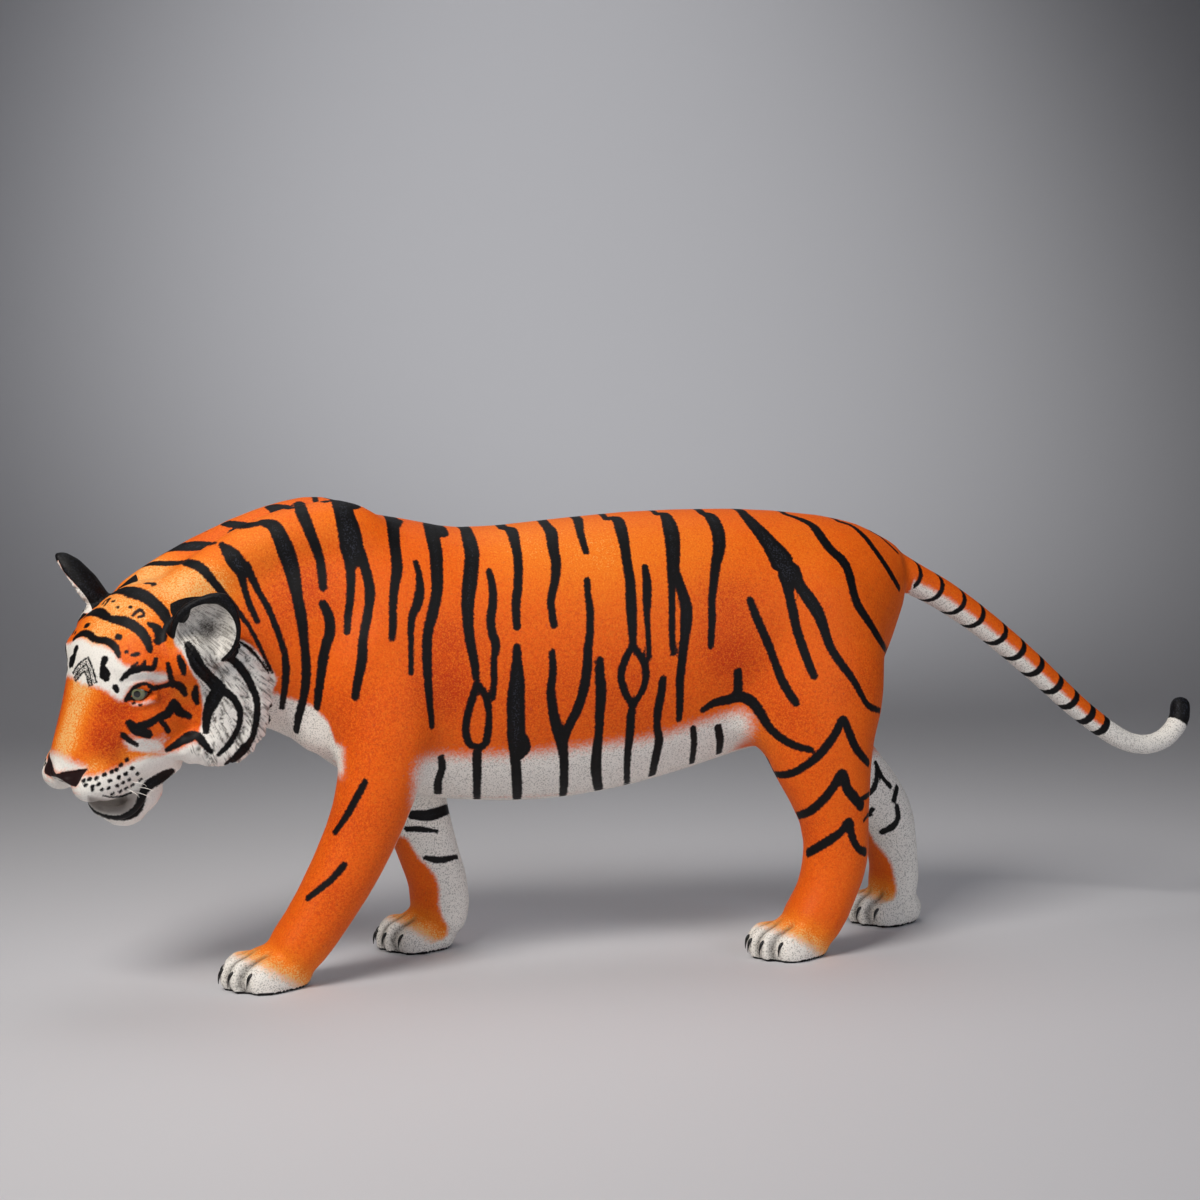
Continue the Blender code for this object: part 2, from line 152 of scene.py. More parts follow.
# Stripes of the left side, as brush strokes read from the photograph: pixel across, pixel down,
# and width in pixels. A stroke is laid on the cast along the photograph's line of sight.
NECK_STRIPES = [
    [(151, 562, 7), (166, 570, 9)],
    [(185, 562, 8), (200, 567, 10), (212, 580, 9), (222, 592, 8), (235, 608, 7), (248, 625, 5),
     (258, 643, 5), (266, 660, 4), (272, 672, 3)],
    [(183, 541, 9), (197, 543, 8), (215, 543, 3)],
    [(222, 545, 7), (232, 556, 17), (240, 567, 17), (246, 574, 9)],
    [(240, 570, 10), (245, 590, 7), (250, 605, 7), (257, 621, 6)],
    [(246, 566, 10), (258, 590, 7), (268, 608, 7), (277, 630, 7), (283, 650, 6), (286, 668, 6),
     (285, 685, 5), (282, 707, 4)],
    [(226, 523, 9), (244, 525, 8), (262, 523, 4)],
    [(262, 522, 8), (273, 526, 12), (282, 542, 14), (289, 560, 14), (293, 575, 12), (297, 595, 9),
     (301, 615, 9), (304, 640, 7), (306, 660, 7), (306, 680, 7), (303, 700, 6), (299, 715, 6), (296, 731, 5)],
    [(270, 506, 9), (290, 508, 7)],
    [(299, 504, 9), (303, 515, 10), (309, 530, 9), (315, 545, 8), (320, 560, 7), (322, 575, 7),
     (323, 588, 6)],
    [(323, 604, 7), (329, 617, 8), (330, 632, 8), (326, 645, 8), (323, 660, 8), (321, 675, 7),
     (319, 690, 7), (317, 707, 6)],
    [(313, 496, 4), (334, 497, 3)],
]
SHOULDER_STRIPES = [
    [(340, 498, 16), (345, 515, 18), (350, 535, 20), (352, 550, 19), (352, 561, 13)],
    [(349, 556, 9), (351, 580, 7), (350, 600, 6), (348, 615, 6), (347, 632, 5)],
    [(360, 552, 9), (367, 575, 8), (370, 593, 8), (368, 612, 7), (363, 640, 7), (362, 660, 8),
     (358, 680, 7), (355, 697, 6)],
    [(387, 509, 11), (392, 522, 12), (394, 540, 10), (396, 555, 9), (397, 570, 9), (394, 590, 7),
     (393, 610, 6), (393, 625, 6), (392, 638, 5)],
    [(416, 563, 4), (419, 575, 5), (420, 588, 7), (418, 602, 8), (412, 617, 6), (411, 630, 5), (411, 650, 4),
     (411, 672, 4)],
    [(430, 523, 13), (433, 538, 12), (436, 555, 11), (437, 575, 10), (437, 592, 9), (433, 612, 9),
     (428, 632, 8), (427, 655, 8), (428, 680, 7), (430, 705, 6), (432, 726, 5)],
]
FLANK_STRIPES = [
    [(466, 530, 10), (470, 543, 12), (472, 557, 12), (470, 580, 12), (468, 600, 11), (468, 620, 9),
     (470, 640, 8), (474, 660, 7), (476, 677, 6)],
    [(477, 683, 5), (471, 703, 6), (467, 718, 6), (466, 733, 6), (470, 744, 6), (478, 747, 5), (485, 744, 6),
     (488, 732, 6), (489, 715, 5), (487, 700, 6), (481, 688, 5), (477, 683, 4)],
    [(489, 571, 5), (492, 585, 6), (493, 600, 7), (491, 618, 7), (492, 632, 7), (496, 645, 7), (494, 660, 5),
     (494, 680, 5), (493, 697, 4)],
    [(503, 528, 8), (511, 530, 10), (515, 543, 8), (518, 560, 7), (518, 585, 7), (516, 605, 7),
     (517, 627, 6)],
    [(517, 647, 6), (517, 665, 9), (517, 682, 13), (516, 700, 15), (516, 718, 15), (516, 735, 15),
     (515, 752, 9), (516, 768, 8), (517, 785, 8), (517, 799, 7)],
    [(516, 728, 8), (524, 742, 9), (525, 750, 8), (519, 757, 7)],
    [(545, 524, 8), (551, 532, 10), (553, 547, 9), (556, 563, 8), (555, 580, 7), (551, 600, 6),
     (552, 612, 6), (554, 625, 6)],
    [(552, 652, 5), (553, 670, 6), (551, 690, 7), (553, 710, 8), (557, 728, 9), (562, 744, 9), (564, 760, 7),
     (564, 780, 7), (563, 797, 6)],
    [(587, 580, 5), (588, 595, 5), (590, 610, 6), (590, 630, 6), (588, 650, 7), (587, 670, 8), (583, 692, 8),
     (577, 710, 8), (569, 726, 8), (563, 742, 8)],
    [(578, 520, 8), (581, 535, 6), (586, 552, 5)],
    [(600, 660, 6), (600, 675, 8), (601, 692, 9), (600, 710, 8), (599, 730, 7), (597, 750, 8), (596, 765, 9),
     (597, 779, 8), (599, 791, 7)],
    [(606, 519, 5), (617, 519, 9), (622, 533, 10), (625, 548, 8), (627, 562, 8), (630, 580, 8), (631, 600, 9),
     (632, 620, 8), (633, 645, 6)],
    [(633, 645, 5), (625, 660, 6), (621, 676, 6), (625, 692, 6), (632, 706, 5), (631, 716, 7), (630, 733, 7),
     (628, 750, 6), (627, 770, 5), (627, 787, 5)],
    [(634, 647, 5), (643, 660, 6), (646, 674, 6), (643, 689, 5), (636, 701, 5), (631, 711, 5)],
    [(645, 567, 5), (647, 582, 7), (647, 600, 7), (647, 615, 5), (648, 632, 4), (649, 657, 4)],
    [(656, 514, 4), (665, 515, 9), (671, 530, 13), (673, 550, 12), (673, 570, 10), (672, 590, 6),
     (672, 610, 5), (672, 630, 5), (673, 653, 4)],
    [(675, 570, 7), (681, 588, 8), (686, 606, 10), (686, 622, 10), (684, 642, 8), (682, 662, 7),
     (680, 680, 7), (680, 700, 6), (679, 719, 5)],
    [(663, 679, 6), (661, 695, 7), (658, 710, 7), (657, 727, 6), (659, 740, 7), (656, 756, 7), (652, 775, 6)],
    [(702, 513, 6), (711, 517, 11), (718, 532, 11), (719, 548, 10), (716, 564, 8), (714, 580, 7),
     (712, 600, 6), (712, 620, 6), (711, 646, 5)],
    [(441, 757, 5), (442, 768, 6), (438, 782, 6), (438, 793, 6)],
    [(477, 753, 7), (477, 770, 7), (477, 786, 6), (477, 800, 6)],
    [(693, 728, 5), (694, 742, 5), (692, 763, 4)],
    [(718, 727, 6), (720, 740, 6), (719, 753, 5)],
]
HAUNCH_STRIPES = [
    [(742, 512, 8), (754, 525, 12), (767, 540, 15), (778, 555, 20), (786, 569, 22), (789, 580, 14)],
    [(786, 575, 14), (789, 593, 8), (793, 612, 8), (797, 630, 7), (803, 648, 7), (808, 662, 7),
     (814, 676, 6)],
    [(792, 570, 14), (800, 586, 10), (810, 600, 11), (819, 615, 10), (825, 632, 8), (832, 650, 7),
     (843, 666, 7), (854, 681, 6), (862, 696, 5), (869, 706, 5), (881, 711, 4)],
    [(785, 514, 5), (800, 519, 6), (813, 526, 8), (822, 538, 9), (831, 550, 9), (842, 560, 10), (849, 573, 9),
     (853, 590, 8), (858, 605, 8), (869, 622, 7), (880, 640, 7), (891, 659, 6)],
    [(838, 521, 4), (852, 526, 5), (864, 536, 6), (875, 550, 6), (886, 566, 6), (899, 588, 5)],
    [(869, 530, 2), (882, 538, 3), (896, 551, 2)],
    [(750, 600, 6), (756, 616, 7), (763, 632, 7), (769, 646, 7), (775, 662, 6), (781, 678, 7), (788, 691, 7),
     (796, 703, 6)],
    [(738, 672, 7), (738, 695, 8)],
    [(703, 710, 5), (714, 703, 7), (727, 700, 8), (741, 697, 9), (752, 702, 9), (761, 714, 8), (769, 727, 7),
     (781, 738, 7), (796, 746, 6), (811, 750, 5)],
    [(758, 765, 5), (768, 772, 6), (779, 775, 6), (792, 773, 6), (805, 766, 6), (818, 756, 7), (829, 743, 7),
     (837, 731, 7), (843, 720, 7), (849, 732, 7), (856, 748, 7), (868, 763, 6)],
    [(798, 816, 6), (810, 811, 7), (822, 801, 7), (832, 789, 7), (842, 774, 8), (847, 788, 8), (853, 796, 9),
     (861, 806, 8)],
    [(808, 853, 7), (820, 846, 7), (833, 838, 7), (842, 831, 6), (849, 822, 7), (852, 836, 6), (858, 848, 6),
     (865, 852, 7)],
]
FORELEG_STRIPES = [
    [(365, 782, 5), (357, 797, 6), (347, 815, 6), (335, 832, 5)],
    [(344, 865, 5), (334, 877, 5), (321, 888, 5), (308, 898, 5)],
]
BODY_STRIPES = NECK_STRIPES + SHOULDER_STRIPES + FLANK_STRIPES + HAUNCH_STRIPES + FORELEG_STRIPES

# Strokes on the far legs' inner sides, which the near side doesn't repeat.
FAR_LEG_STRIPES = [
    [(412, 815, 7), (430, 815, 9), (451, 808, 8)],
    [(407, 829, 4), (420, 829, 4), (435, 831, 2)],
    [(427, 858, 3), (440, 860, 5), (456, 857, 3)],
    [(862, 799, 4), (870, 793, 4), (876, 782, 4), (877, 768, 3)],
    [(865, 819, 2), (872, 810, 3)],
    [(897, 787, 4), (894, 800, 4)],
    [(897, 807, 4), (898, 818, 4), (892, 827, 5), (882, 832, 4)],
    [(876, 764, 3), (883, 778, 3), (890, 786, 4)],
]

# Brushes: how much wider a stroke spreads than it is drawn, as a share and in pixels, and the
# half widths at which strokes are told apart, so that a thin one doesn't cut into a broad one.
BRUSH_PRESSURE = 1.15
BRUSH_SPREAD = 1.6
BRUSHES = (0, 0.9 * MM, 1.7 * MM, 1.0)

# Where the orange of the flank gives way to the white belly, in pixels of the photograph.
BELLY_LINE = [(430, 757), (470, 756), (520, 754), (600, 745), (640, 740), (670, 733), (700, 723), (735, 712)]
BELLY_FADE = 9.0 * MM
# The belly's middle is white between these distances from the middle, behind the chest and up to
# this height.
BELLY_REACH = (5, 8)
CHEST = -66
BELLY_TOP = 60

# How fast a sprayed spot thins out from its middle.
SPRAY_FALL = 1.1

# Each pass over the skin smooths by the first share and swells by the second. What lies below
# this height stays flat on the floor.
ROUNDING = (0.5, -0.52)
SOLE_HEIGHT = 0.25 * MM

# Marks of the face and ruff, read the same way. They are laid flat along the line of sight, and
# the right side of the head gets them mirrored.
HEAD_STRIPES = [
    [(84, 610, 7), (90, 601, 10), (101, 593, 12), (116, 590, 13), (131, 592, 13), (144, 596, 13),
     (155, 604, 12), (164, 614, 12), (169, 625, 8)],
    [(73, 632, 5), (83, 622, 7), (94, 618, 8), (107, 617, 8)],
    [(111, 619, 8), (126, 622, 11), (138, 629, 11), (146, 639, 10), (150, 650, 7)],
    [(72, 645, 4), (79, 639, 6), (90, 636, 8), (96, 638, 5)],
    [(97, 640, 7), (107, 641, 8), (115, 647, 8), (119, 656, 5)],
    [(149, 624, 5), (156, 628, 9), (161, 636, 13), (158, 641, 9)],
    [(133, 615, 3), (140, 610, 4), (144, 615, 3), (139, 617, 3)],
    [(87, 656, 2), (92, 667, 2), (96, 681, 2.4)],
    [(85, 661, 1.8), (89, 671, 2), (92, 684, 2.2)],
    [(84, 669, 1.8), (87, 677, 2), (89, 685, 2)],
    [(105, 659, 7), (103, 666, 6), (105, 675, 12), (106, 678, 8)],
    [(115, 687, 6), (117, 690, 6)],
    [(121, 680, 4), (130, 672, 7), (143, 668, 7), (153, 668, 6), (156, 659, 5)],
    [(132, 655, 4), (138, 654, 5)],
    [(133, 667, 5), (137, 663, 3)],
    [(143, 667, 5), (145, 661, 4)],
    [(168, 664, 5), (170, 674, 6), (173, 685, 7)],
    [(126, 700, 5), (131, 693, 6), (137, 686, 5), (146, 684, 4), (153, 688, 6), (164, 686, 5), (173, 684, 7),
     (181, 687, 9), (185, 694, 6)],
    [(127, 699, 5), (134, 698, 5), (142, 697, 4), (149, 693, 4), (152, 689, 4)],
    [(179, 657, 5), (182, 665, 8), (184, 673, 6)],
    [(196, 687, 5), (195, 695, 8), (197, 703, 5)],
    [(129, 723, 8), (136, 729, 12), (148, 734, 10)],
    [(138, 727, 9), (148, 724, 9), (158, 718, 8), (168, 713, 10), (174, 703, 9)],
    [(175, 706, 12), (180, 712, 10), (189, 716, 7)],
    [(161, 721, 6), (166, 727, 6), (168, 731, 6)],
    [(123, 735, 7), (129, 740, 6), (137, 745, 4)],
    [(167, 750, 5), (177, 744, 8), (189, 737, 11), (197, 736, 9), (205, 745, 8), (211, 752, 5)],
    [(188, 645, 8), (193, 655, 13), (198, 666, 14), (208, 677, 13), (219, 688, 14)],
    [(219, 690, 14), (212, 702, 14), (207, 716, 10), (206, 731, 7)],
    [(222, 690, 9), (233, 698, 8), (240, 712, 7), (238, 728, 6), (229, 744, 6), (218, 755, 4)],
    [(233, 660, 9), (243, 671, 9), (252, 687, 8), (257, 703, 7), (256, 722, 7), (252, 738, 6), (243, 750, 9),
     (233, 760, 7), (226, 764, 4)],
    [(240, 642, 2.4), (250, 649, 4), (258, 658, 3), (268, 672, 2)],
    [(271, 706, 4), (272, 714, 5), (270, 722, 4)],
    [(172, 771, 6), (165, 775, 10), (157, 780, 11), (149, 785, 11), (144, 791, 9), (141, 800, 9),
     (138, 808, 10), (130, 815, 9), (118, 818, 5.5), (105, 816, 4), (97, 812.5, 2)],
    [(104, 796, 1.8), (112, 797, 2), (122, 796, 2.2), (130, 793, 2)],
    [(62, 773, 2), (73, 771.5, 2.4), (86, 769.5, 2.4)],
]

# Whisker spots: rows of places, and each row's width.
WHISKER_SPOTS = [
    (4.6, [(126.5, 760), (120.5, 765), (116, 770), (111.5, 772), (104, 775), (96, 778.5), (89, 779.5),
           (83, 781)]),
    (4.2, [(131.5, 768.5), (125.5, 774), (118.5, 777.5), (109.5, 781), (98.5, 784.5), (92, 786.5),
           (85, 785.5)]),
    (3.6, [(137, 774), (129, 780), (122.5, 783), (117, 786), (108, 788.5), (101.5, 790), (92, 790)]),
    (2.4, [(140, 780), (132, 785.5), (126, 788.5), (120, 791.5), (112, 794)]),
]

# The loose specks of the face: place and width.
SPECKS = [(101, 606, 5), (117, 607, 3), (130, 607, 3), (87, 629, 4), (118, 637, 7), (126, 652, 4),
          (153, 584, 5), (140, 705, 3), (133, 703, 3)]

# Painted areas of the face, by closed outlines in pixels: outline, fade in pixels and strength.
HEAD_AREAS = {
    "white": [
        ([(40, 749), (50, 752), (62, 756), (74, 763), (86, 769), (70, 772), (52, 772), (40, 766)], 11, 1.1),
        ([(58, 664), (68, 652), (82, 645), (100, 645), (114, 652), (121, 662), (132, 668), (146, 671),
          (160, 673), (170, 677), (160, 683), (146, 681), (134, 685), (126, 694), (122, 701), (114, 697),
          (104, 690), (92, 686), (78, 684), (62, 684)], 6, 1.0),
        ([(128, 702), (138, 703), (150, 700), (156, 702), (146, 705), (134, 706)], 3.5, 0.6),
        ([(52, 777), (64, 785), (76, 786), (80, 777), (92, 776), (105, 773), (118, 768), (130, 763),
          (142, 758), (154, 756), (168, 755), (180, 749), (190, 744), (200, 743), (208, 751), (216, 758),
          (210, 768), (196, 768), (182, 770), (172, 782), (162, 796), (158, 812), (150, 826), (138, 836),
          (118, 836), (100, 826), (86, 812), (78, 796), (62, 790), (50, 784)], 7, 1.05),
        ([(165, 608), (172, 618), (184, 624), (196, 632), (212, 644), (226, 654), (234, 640), (246, 642),
          (256, 650), (268, 664), (277, 680), (282, 700), (278, 722), (270, 742), (262, 756), (248, 768),
          (230, 772), (214, 768), (206, 757), (201, 746), (199, 734), (202, 720), (203, 706), (201, 694),
          (199, 684), (192, 672), (184, 656), (177, 642), (170, 630), (164, 618)], 3, 1.0),
    ],
    # The mouth's grey is painted shade over its inside, and the shade areas are painted shade in the mouth.
    "mouth": [
        ([(88, 796), (100, 798), (112, 799), (124, 797), (134, 791), (139, 790), (138, 800), (134, 809),
          (126, 814), (112, 814), (98, 811), (90, 806)], 2, 1.0),
    ],
    "leather": [
        ([(53, 775), (60, 773), (72, 771), (87, 769), (83, 775), (79, 783), (76, 787), (68, 784), (60, 779),
          (52, 775)], 1.2, 1.0),
    ],
    "pink": [
        ([(46, 772), (52, 776), (60, 780), (67, 785), (62, 788), (52, 784), (44, 777)], 1.2, 1.0),
    ],
    "inked": [
        ([(170, 604), (178, 600), (190, 597), (203, 597), (197, 603), (191, 609), (189, 617), (184, 623),
          (177, 621), (171, 613)], 2, 1.0),
    ],
    "shade": [
        ([(88, 797), (95, 800), (101, 805), (104, 810), (96, 809), (90, 803)], 3, 0.45),
        ([(104, 807), (114, 809), (124, 807), (120, 811), (108, 812)], 3, 0.25),
        ([(119, 797), (124, 798), (124, 806), (120, 804)], 2, 0.3),
    ],
}

# White inner edge of the right ear, as the photograph shows it past the skull.
RIGHT_EAR_WHITE = [(58, 560), (64, 572), (73, 582), (82, 592), (89, 602), (92, 612), (80, 612), (70, 600),
                   (60, 588), (54, 572)]
RIGHT_EAR_FADE = 1.5

# Fur is carved over this area, in strands that run out from a point above the face. They sway and
# break into locks at these lengths, and their distance is true at the span, in pixels, from that
# point.
FUR_AREA = [(176, 622), (190, 628), (206, 640), (222, 652), (234, 642), (250, 644), (268, 664), (282, 700),
            (276, 730), (262, 756), (240, 772), (214, 770), (202, 757), (188, 752), (190, 744), (201, 742),
            (203, 720), (204, 702), (200, 684), (190, 664), (182, 646)]
FUR_FADE = 4
FUR_SWAY = 4 * MM
FUR_LOCK = 6.5 * MM
FUR_FROM = (120, 560)
FUR_SPAN = 170

# Sprayed spots on the left side: pixel across, pixel down, reach in pixels and strength. The deep spots are
# partly sprayed paint and partly painted shade in the hollows; the pale spots are partly sprayed paint and
# partly a painted highlight where the light falls most.
DEEP_AND_SHADE_SPOTS = [
    (445, 690, 40, 0.9), (452, 640, 34, 0.6), (300, 590, 42, 0.65), (350, 720, 45, 0.5), (345, 820, 40, 0.55),
    (735, 655, 38, 0.95), (725, 600, 34, 0.6), (790, 720, 40, 0.5), (860, 680, 34, 0.4), (545, 700, 60, 0.45),
    (640, 690, 55, 0.5), (245, 640, 26, 0.5), (330, 900, 30, 0.4), (800, 840, 30, 0.35),
]
HEAD_DEEP_AND_SHADE_SPOTS = [(110, 712, 17, 1.0), (100, 738, 17, 1.0), (128, 712, 14, 0.7), (118, 745, 16, 0.8),
                   (166, 697, 14, 0.5), (160, 652, 12, 0.5), (190, 712, 12, 0.3)]
PALE_AND_HIGHLIGHT_SPOTS = [
    (250, 535, 46, 0.50), (330, 520, 36, 0.31), (520, 545, 55, 0.50), (600, 550, 60, 0.56),
    (690, 545, 55, 0.37), (800, 545, 50, 0.22), (200, 590, 30, 0.50), (225, 620, 24, 0.43),
    (315, 965, 22, 0.31), (760, 740, 26, 0.25),
]
HEAD_PALE_AND_HIGHLIGHT_SPOTS = [
    (150, 575, 34, 1.0), (170, 590, 26, 0.95), (115, 604, 30, 0.72), (140, 618, 24, 0.66),
    (100, 632, 24, 0.7), (92, 655, 16, 0.9), (84, 690, 16, 1.0), (76, 712, 15, 0.9), (68, 732, 15, 0.9),
    (64, 746, 14, 1.0), (186, 690, 14, 0.5), (150, 757, 14, 0.85), (128, 756, 12, 0.6), (100, 768, 12, 0.6),
    (90, 767, 10, 0.7), (176, 640, 12, 0.5), (214, 590, 24, 0.7),
]

# Tail: the middle line as the solid has it (x, y, z), where its own fields begin and how far they
# reach from the line, the first and the last ring's width and bow, the black end's length, how
# soft the step to the white end is, and the rings' places in pixels.
TAIL_LINE = [(69, 0, 84.0), (74.3, 0, 81.6), (83.5, 0.7, 76.9), (94.5, 1.6, 69.6), (105.8, 2.7, 60.9),
             (117.3, 3.8, 51.3), (123.1, 4.3, 47.0), (129.0, 4.9, 43.2), (134.3, 5.5, 41.1),
             (139.4, 6.1, 40.9), (144.0, 6.7, 42.8), (147.0, 7.4, 46.2), (147.6, 7.8, 49.4)]
TAIL_START = 73.5
TAIL_REACH = 6
RING_WIDTHS = (1.5 * MM, 2.5 * MM)
RING_BOW = (3.2 * MM, 0.6 * MM)
TAIL_CAP = 5.0 * MM
TAIL_STEP = 0.4 * MM
RING_PIXELS = [(921, 574), (943, 588), (965, 602), (984, 615), (1005, 634), (1023, 650), (1041, 667),
               (1059, 685), (1076, 699), (1093, 712), (1107, 723)]

# Where the throat and chest turn white, in pixels of the photograph.
THROAT_LINE = [(262, 690), (285, 697), (313, 706), (328, 722), (336, 744)]
THROAT_FADE = 3.0 * MM
THROAT_HEIGHTS = (41, 45)

# How far each leg of the right side stands behind its left fellow, by height: for marks carried over.
LEG_SHIFTS = {
    "fore": [(5, 36), (9, 34), (15, 29), (22, 23), (31, 16), (41, 9.9), (51, 5.3), (62, 1), (74, 0)],
    "hind": [(5, 32), (9, 30), (14, 27.5), (22, 24.5), (30, 19.5), (38, 12), (45.5, 7.7), (54.5, 3.8),
             (65, 1), (76, 0)],
}
# The fore legs are ahead of this place and the hind legs behind it.
LEGS_APART = 0.0
# The legs' white ends here with a fade, and the belly's begins. A leg's inner side starts between
# these distances from the middle.
LEG_TOP = 38.0
LEG_FADE = 6
INNER_FROM = (4.5, 6.0)

# A body stripe that starts above this height and within this reach of the middle crosses the
# spine, where the back is this much higher than at the stripe's start.
SPINE_LOW = 76.0
SPINE_REACH = 11.0
SPINE_RISE = 3
SPINE_STEPS = 10

# Orange on the legs' inner sides, read from the far legs: outlines in pixels.
INNER_ORANGE = [
    [(380, 836), (404, 837), (411, 846), (419, 858), (429, 868), (436, 878), (439, 890), (439, 905),
     (443, 918), (448, 929), (444, 938), (430, 942), (416, 939), (408, 932), (402, 924), (394, 921),
     (386, 924), (376, 922), (376, 900), (400, 896), (390, 860)],
    [(846, 824), (866, 830), (874, 842), (883, 852), (890, 862), (894, 876), (896, 890), (893, 899),
     (884, 902), (874, 904), (866, 909), (858, 911), (846, 910), (840, 900), (856, 880)],
]
INNER_FADE = 4

# Paws as the solid has them: middle of the sole, length, width, turn in degrees; the toes, by their
# place across in toe widths and their tip's place ahead in paw lengths; a toe's width as a share of
# the paw's; and a claw's height, how deep its root is sunk in millimetres, and how far ahead of the
# tip, in paw lengths, the search for the toe's front starts.
PAWS = [((-72.0, -14.4), 19.0, 15.4, 17), ((-36.0, 14.4), 17.6, 15.0, 12),
        ((41.2, -14.4), 18.6, 15.0, 16), ((75.2, 14.4), 17.8, 15.0, 12)]
TOES = ((-1.5, 0.37), (-0.5, 0.51), (0.5, 0.54), (1.5, 0.44))
TOE_PITCH = 0.235
CLAW_HEIGHT = 4.2
CLAW_SUNK = 0.5
CLAW_SEARCH = 0.3

# Whiskers: the pixel of the root and the way it points, forward, left and up from the head; and how
# deep a root is sunk, in millimetres.
WHISKERS = [(139, 787, (-0.35, 0.9, 0.1)), (136, 792, (-0.45, 0.9, -0.05)), (132, 782, (-0.3, 0.9, 0.15)),
            (127, 789, (-0.2, 0.95, -0.1))]
WHISKER_SUNK = 0.4

# Ears as the solid has them, in the head's frame: middle, half sizes across, along and deep, the
# way each stands and the way its cup opens.
EARS = [((10.7, 16.8, 11.2), (7.1, 7.4, 5.2), (-0.25, 0.25, 0.93), (0.55, 0.82, -0.05)),
        ((13.0, -17.8, 11.0), (4.4, 8.8, 4.4), (0.48, -0.43, 0.77), (0.55, -0.50, -0.65))]

# Eyes: middle (forward, left, up), radius, the way they look, and the cosines from that way at
# which the lid's line gives way to the iris, the lids' painted shade on the iris ends, and the pupil begins.
EYE_MIDDLE = (19.0, 8.9, -1.7)
EYE_RADIUS = 2.5
EYE_LOOK = (0.72, 0.66, -0.10)
EYE_LID_LINE = (0.76, 0.84)
EYE_LID_SHADE = (0.7, 0.9)
EYE_PUPIL = (0.955, 0.965)

# Forms added to the head, in its own frame and its hundredths, for the left: balls (centre, half
# sizes, pitch) and ropes (forward, left, up, radius).
HEAD_BALLS = [
    ((27.4, 1.9, -20.4), (2.0, 1.7, 1.7), 0),
    ((24.6, 4.6, -21.4), (4.0, 3.6, 3.6), 10),
]
HEAD_ROPES = [
    [(21.9, 6.3, -2.9, 0.7), (21.7, 8.2, -0.6, 1.0), (20.2, 10.4, 0.1, 1.0), (17.6, 12.2, -1.0, 0.7)],
    [(21.9, 6.4, -3.3, 0.6), (21.0, 8.8, -4.5, 0.8), (19.2, 10.9, -4.1, 0.8), (17.4, 12.2, -2.2, 0.6)],
]
# Grooves carved in the head: points (forward, left, up), half width and depth in millimetres.
HEAD_GROOVES = [
    ([(28.8, 0, -22.0), (26.6, 0, -24.4), (24.0, 0, -25.4)], 0.6, 0.7),
    ([(30.2, 1.7, -20.4), (29.4, 2.9, -19.9)], 0.65, 1.1),
]

# The resin's paint: the fine noise's scale against the grain's, the size of the cloudy shade, a
# painted hair's width and length, how ragged a stroke's edge is, how far the edge of an inked area
# spreads, the width of the maroon edge, where the painted sheen's blue grey specks begin and are
# full, the relief of the paint, and the grain of the plain finishes.
FINE_GRAIN = 1.8
CLOUD = 9 * MM
HAIR_WIDTH = 0.55 * MM
HAIR_LENGTH = 3.5 * MM
RAGGED_EDGE = 0.75 * MM
INKED_SPAN = 3 * MM
MAROON_EDGE = 0.45 * MM
SHEEN_FROM_EDGE = (0.9 * MM, 2.2 * MM)
PAINT_RELIEF = 0.08 * MM
PLAIN_GRAIN = 0.6 * MM

# The paper sweep, in metres: its half width, its front edge, where it bends up, the bend's radius
# and the top.
SWEEP_HALF = 2.2
SWEEP_FRONT = -1.6
SWEEP_BEND = 0.55
SWEEP_RADIUS = 0.45
SWEEP_TOP = 2.0
SWEEP_PAPER = "#CFCFD3"
ROOM = "#DADDE4"
ROOM_LIGHT = 0.09

# Lamps: place, aim, size, power and tint; the cone of the area lamps, in degrees; and the spot
# that lights the backdrop.
LAMPS = {
    "key": ((-0.42, -0.42, 0.6), (-0.04, 0, 0.06), 0.3, 1.2, "#FFFAF4"),
    "fill": ((0.32, -0.8, 0.3), (0, 0, 0.05), 0.5, 0.42, "#EEF2FF"),
    "top": ((-0.05, 0.2, 0.6), (0, 0, 0.05), 0.4, 0.2, "#FFFFFF"),
}
LIGHT_SPREAD = 85
POOL_PLACE = (0.12, 0.15, 0.8)
POOL_AIM = (0.24, 1.0, 0.27)
POOL_POWER = 19.0
POOL_CONE = 62
POOL_SIZE = 0.1

# The painting fields that each point of the cast carries for its material.
ATTRIBUTES = ("offset", "reach", "half", "white", "deep", "pale", "inked", "leather", "pink", "mouth",
              "shade", "fur", "strand", "lock", "furrow", "stipple")


def view_matrix():
    """The photograph's camera, in the row frame."""
    turn = Matrix.Rotation(VIEW_TURN, 4, "Z") @ Matrix.Rotation(pi / 2 - VIEW_DIP, 4, "X")
    return Matrix.Translation(at(*VIEW_FROM)) @ turn


def head_matrix():
    """From the head's own frame, in hundredths, to the row frame."""
    base = Matrix(((-1, 0, 0), (0, -1, 0), (0, 0, 1))).to_4x4()
    turn = Matrix.Rotation(radians(HEAD_TURN), 4, "Z") @ base @ Matrix.Rotation(radians(-HEAD_TILT), 4, "X")
    return Matrix.Translation(at(*HEAD_PLACE)) @ turn @ Matrix.Scale(SHARE, 4)


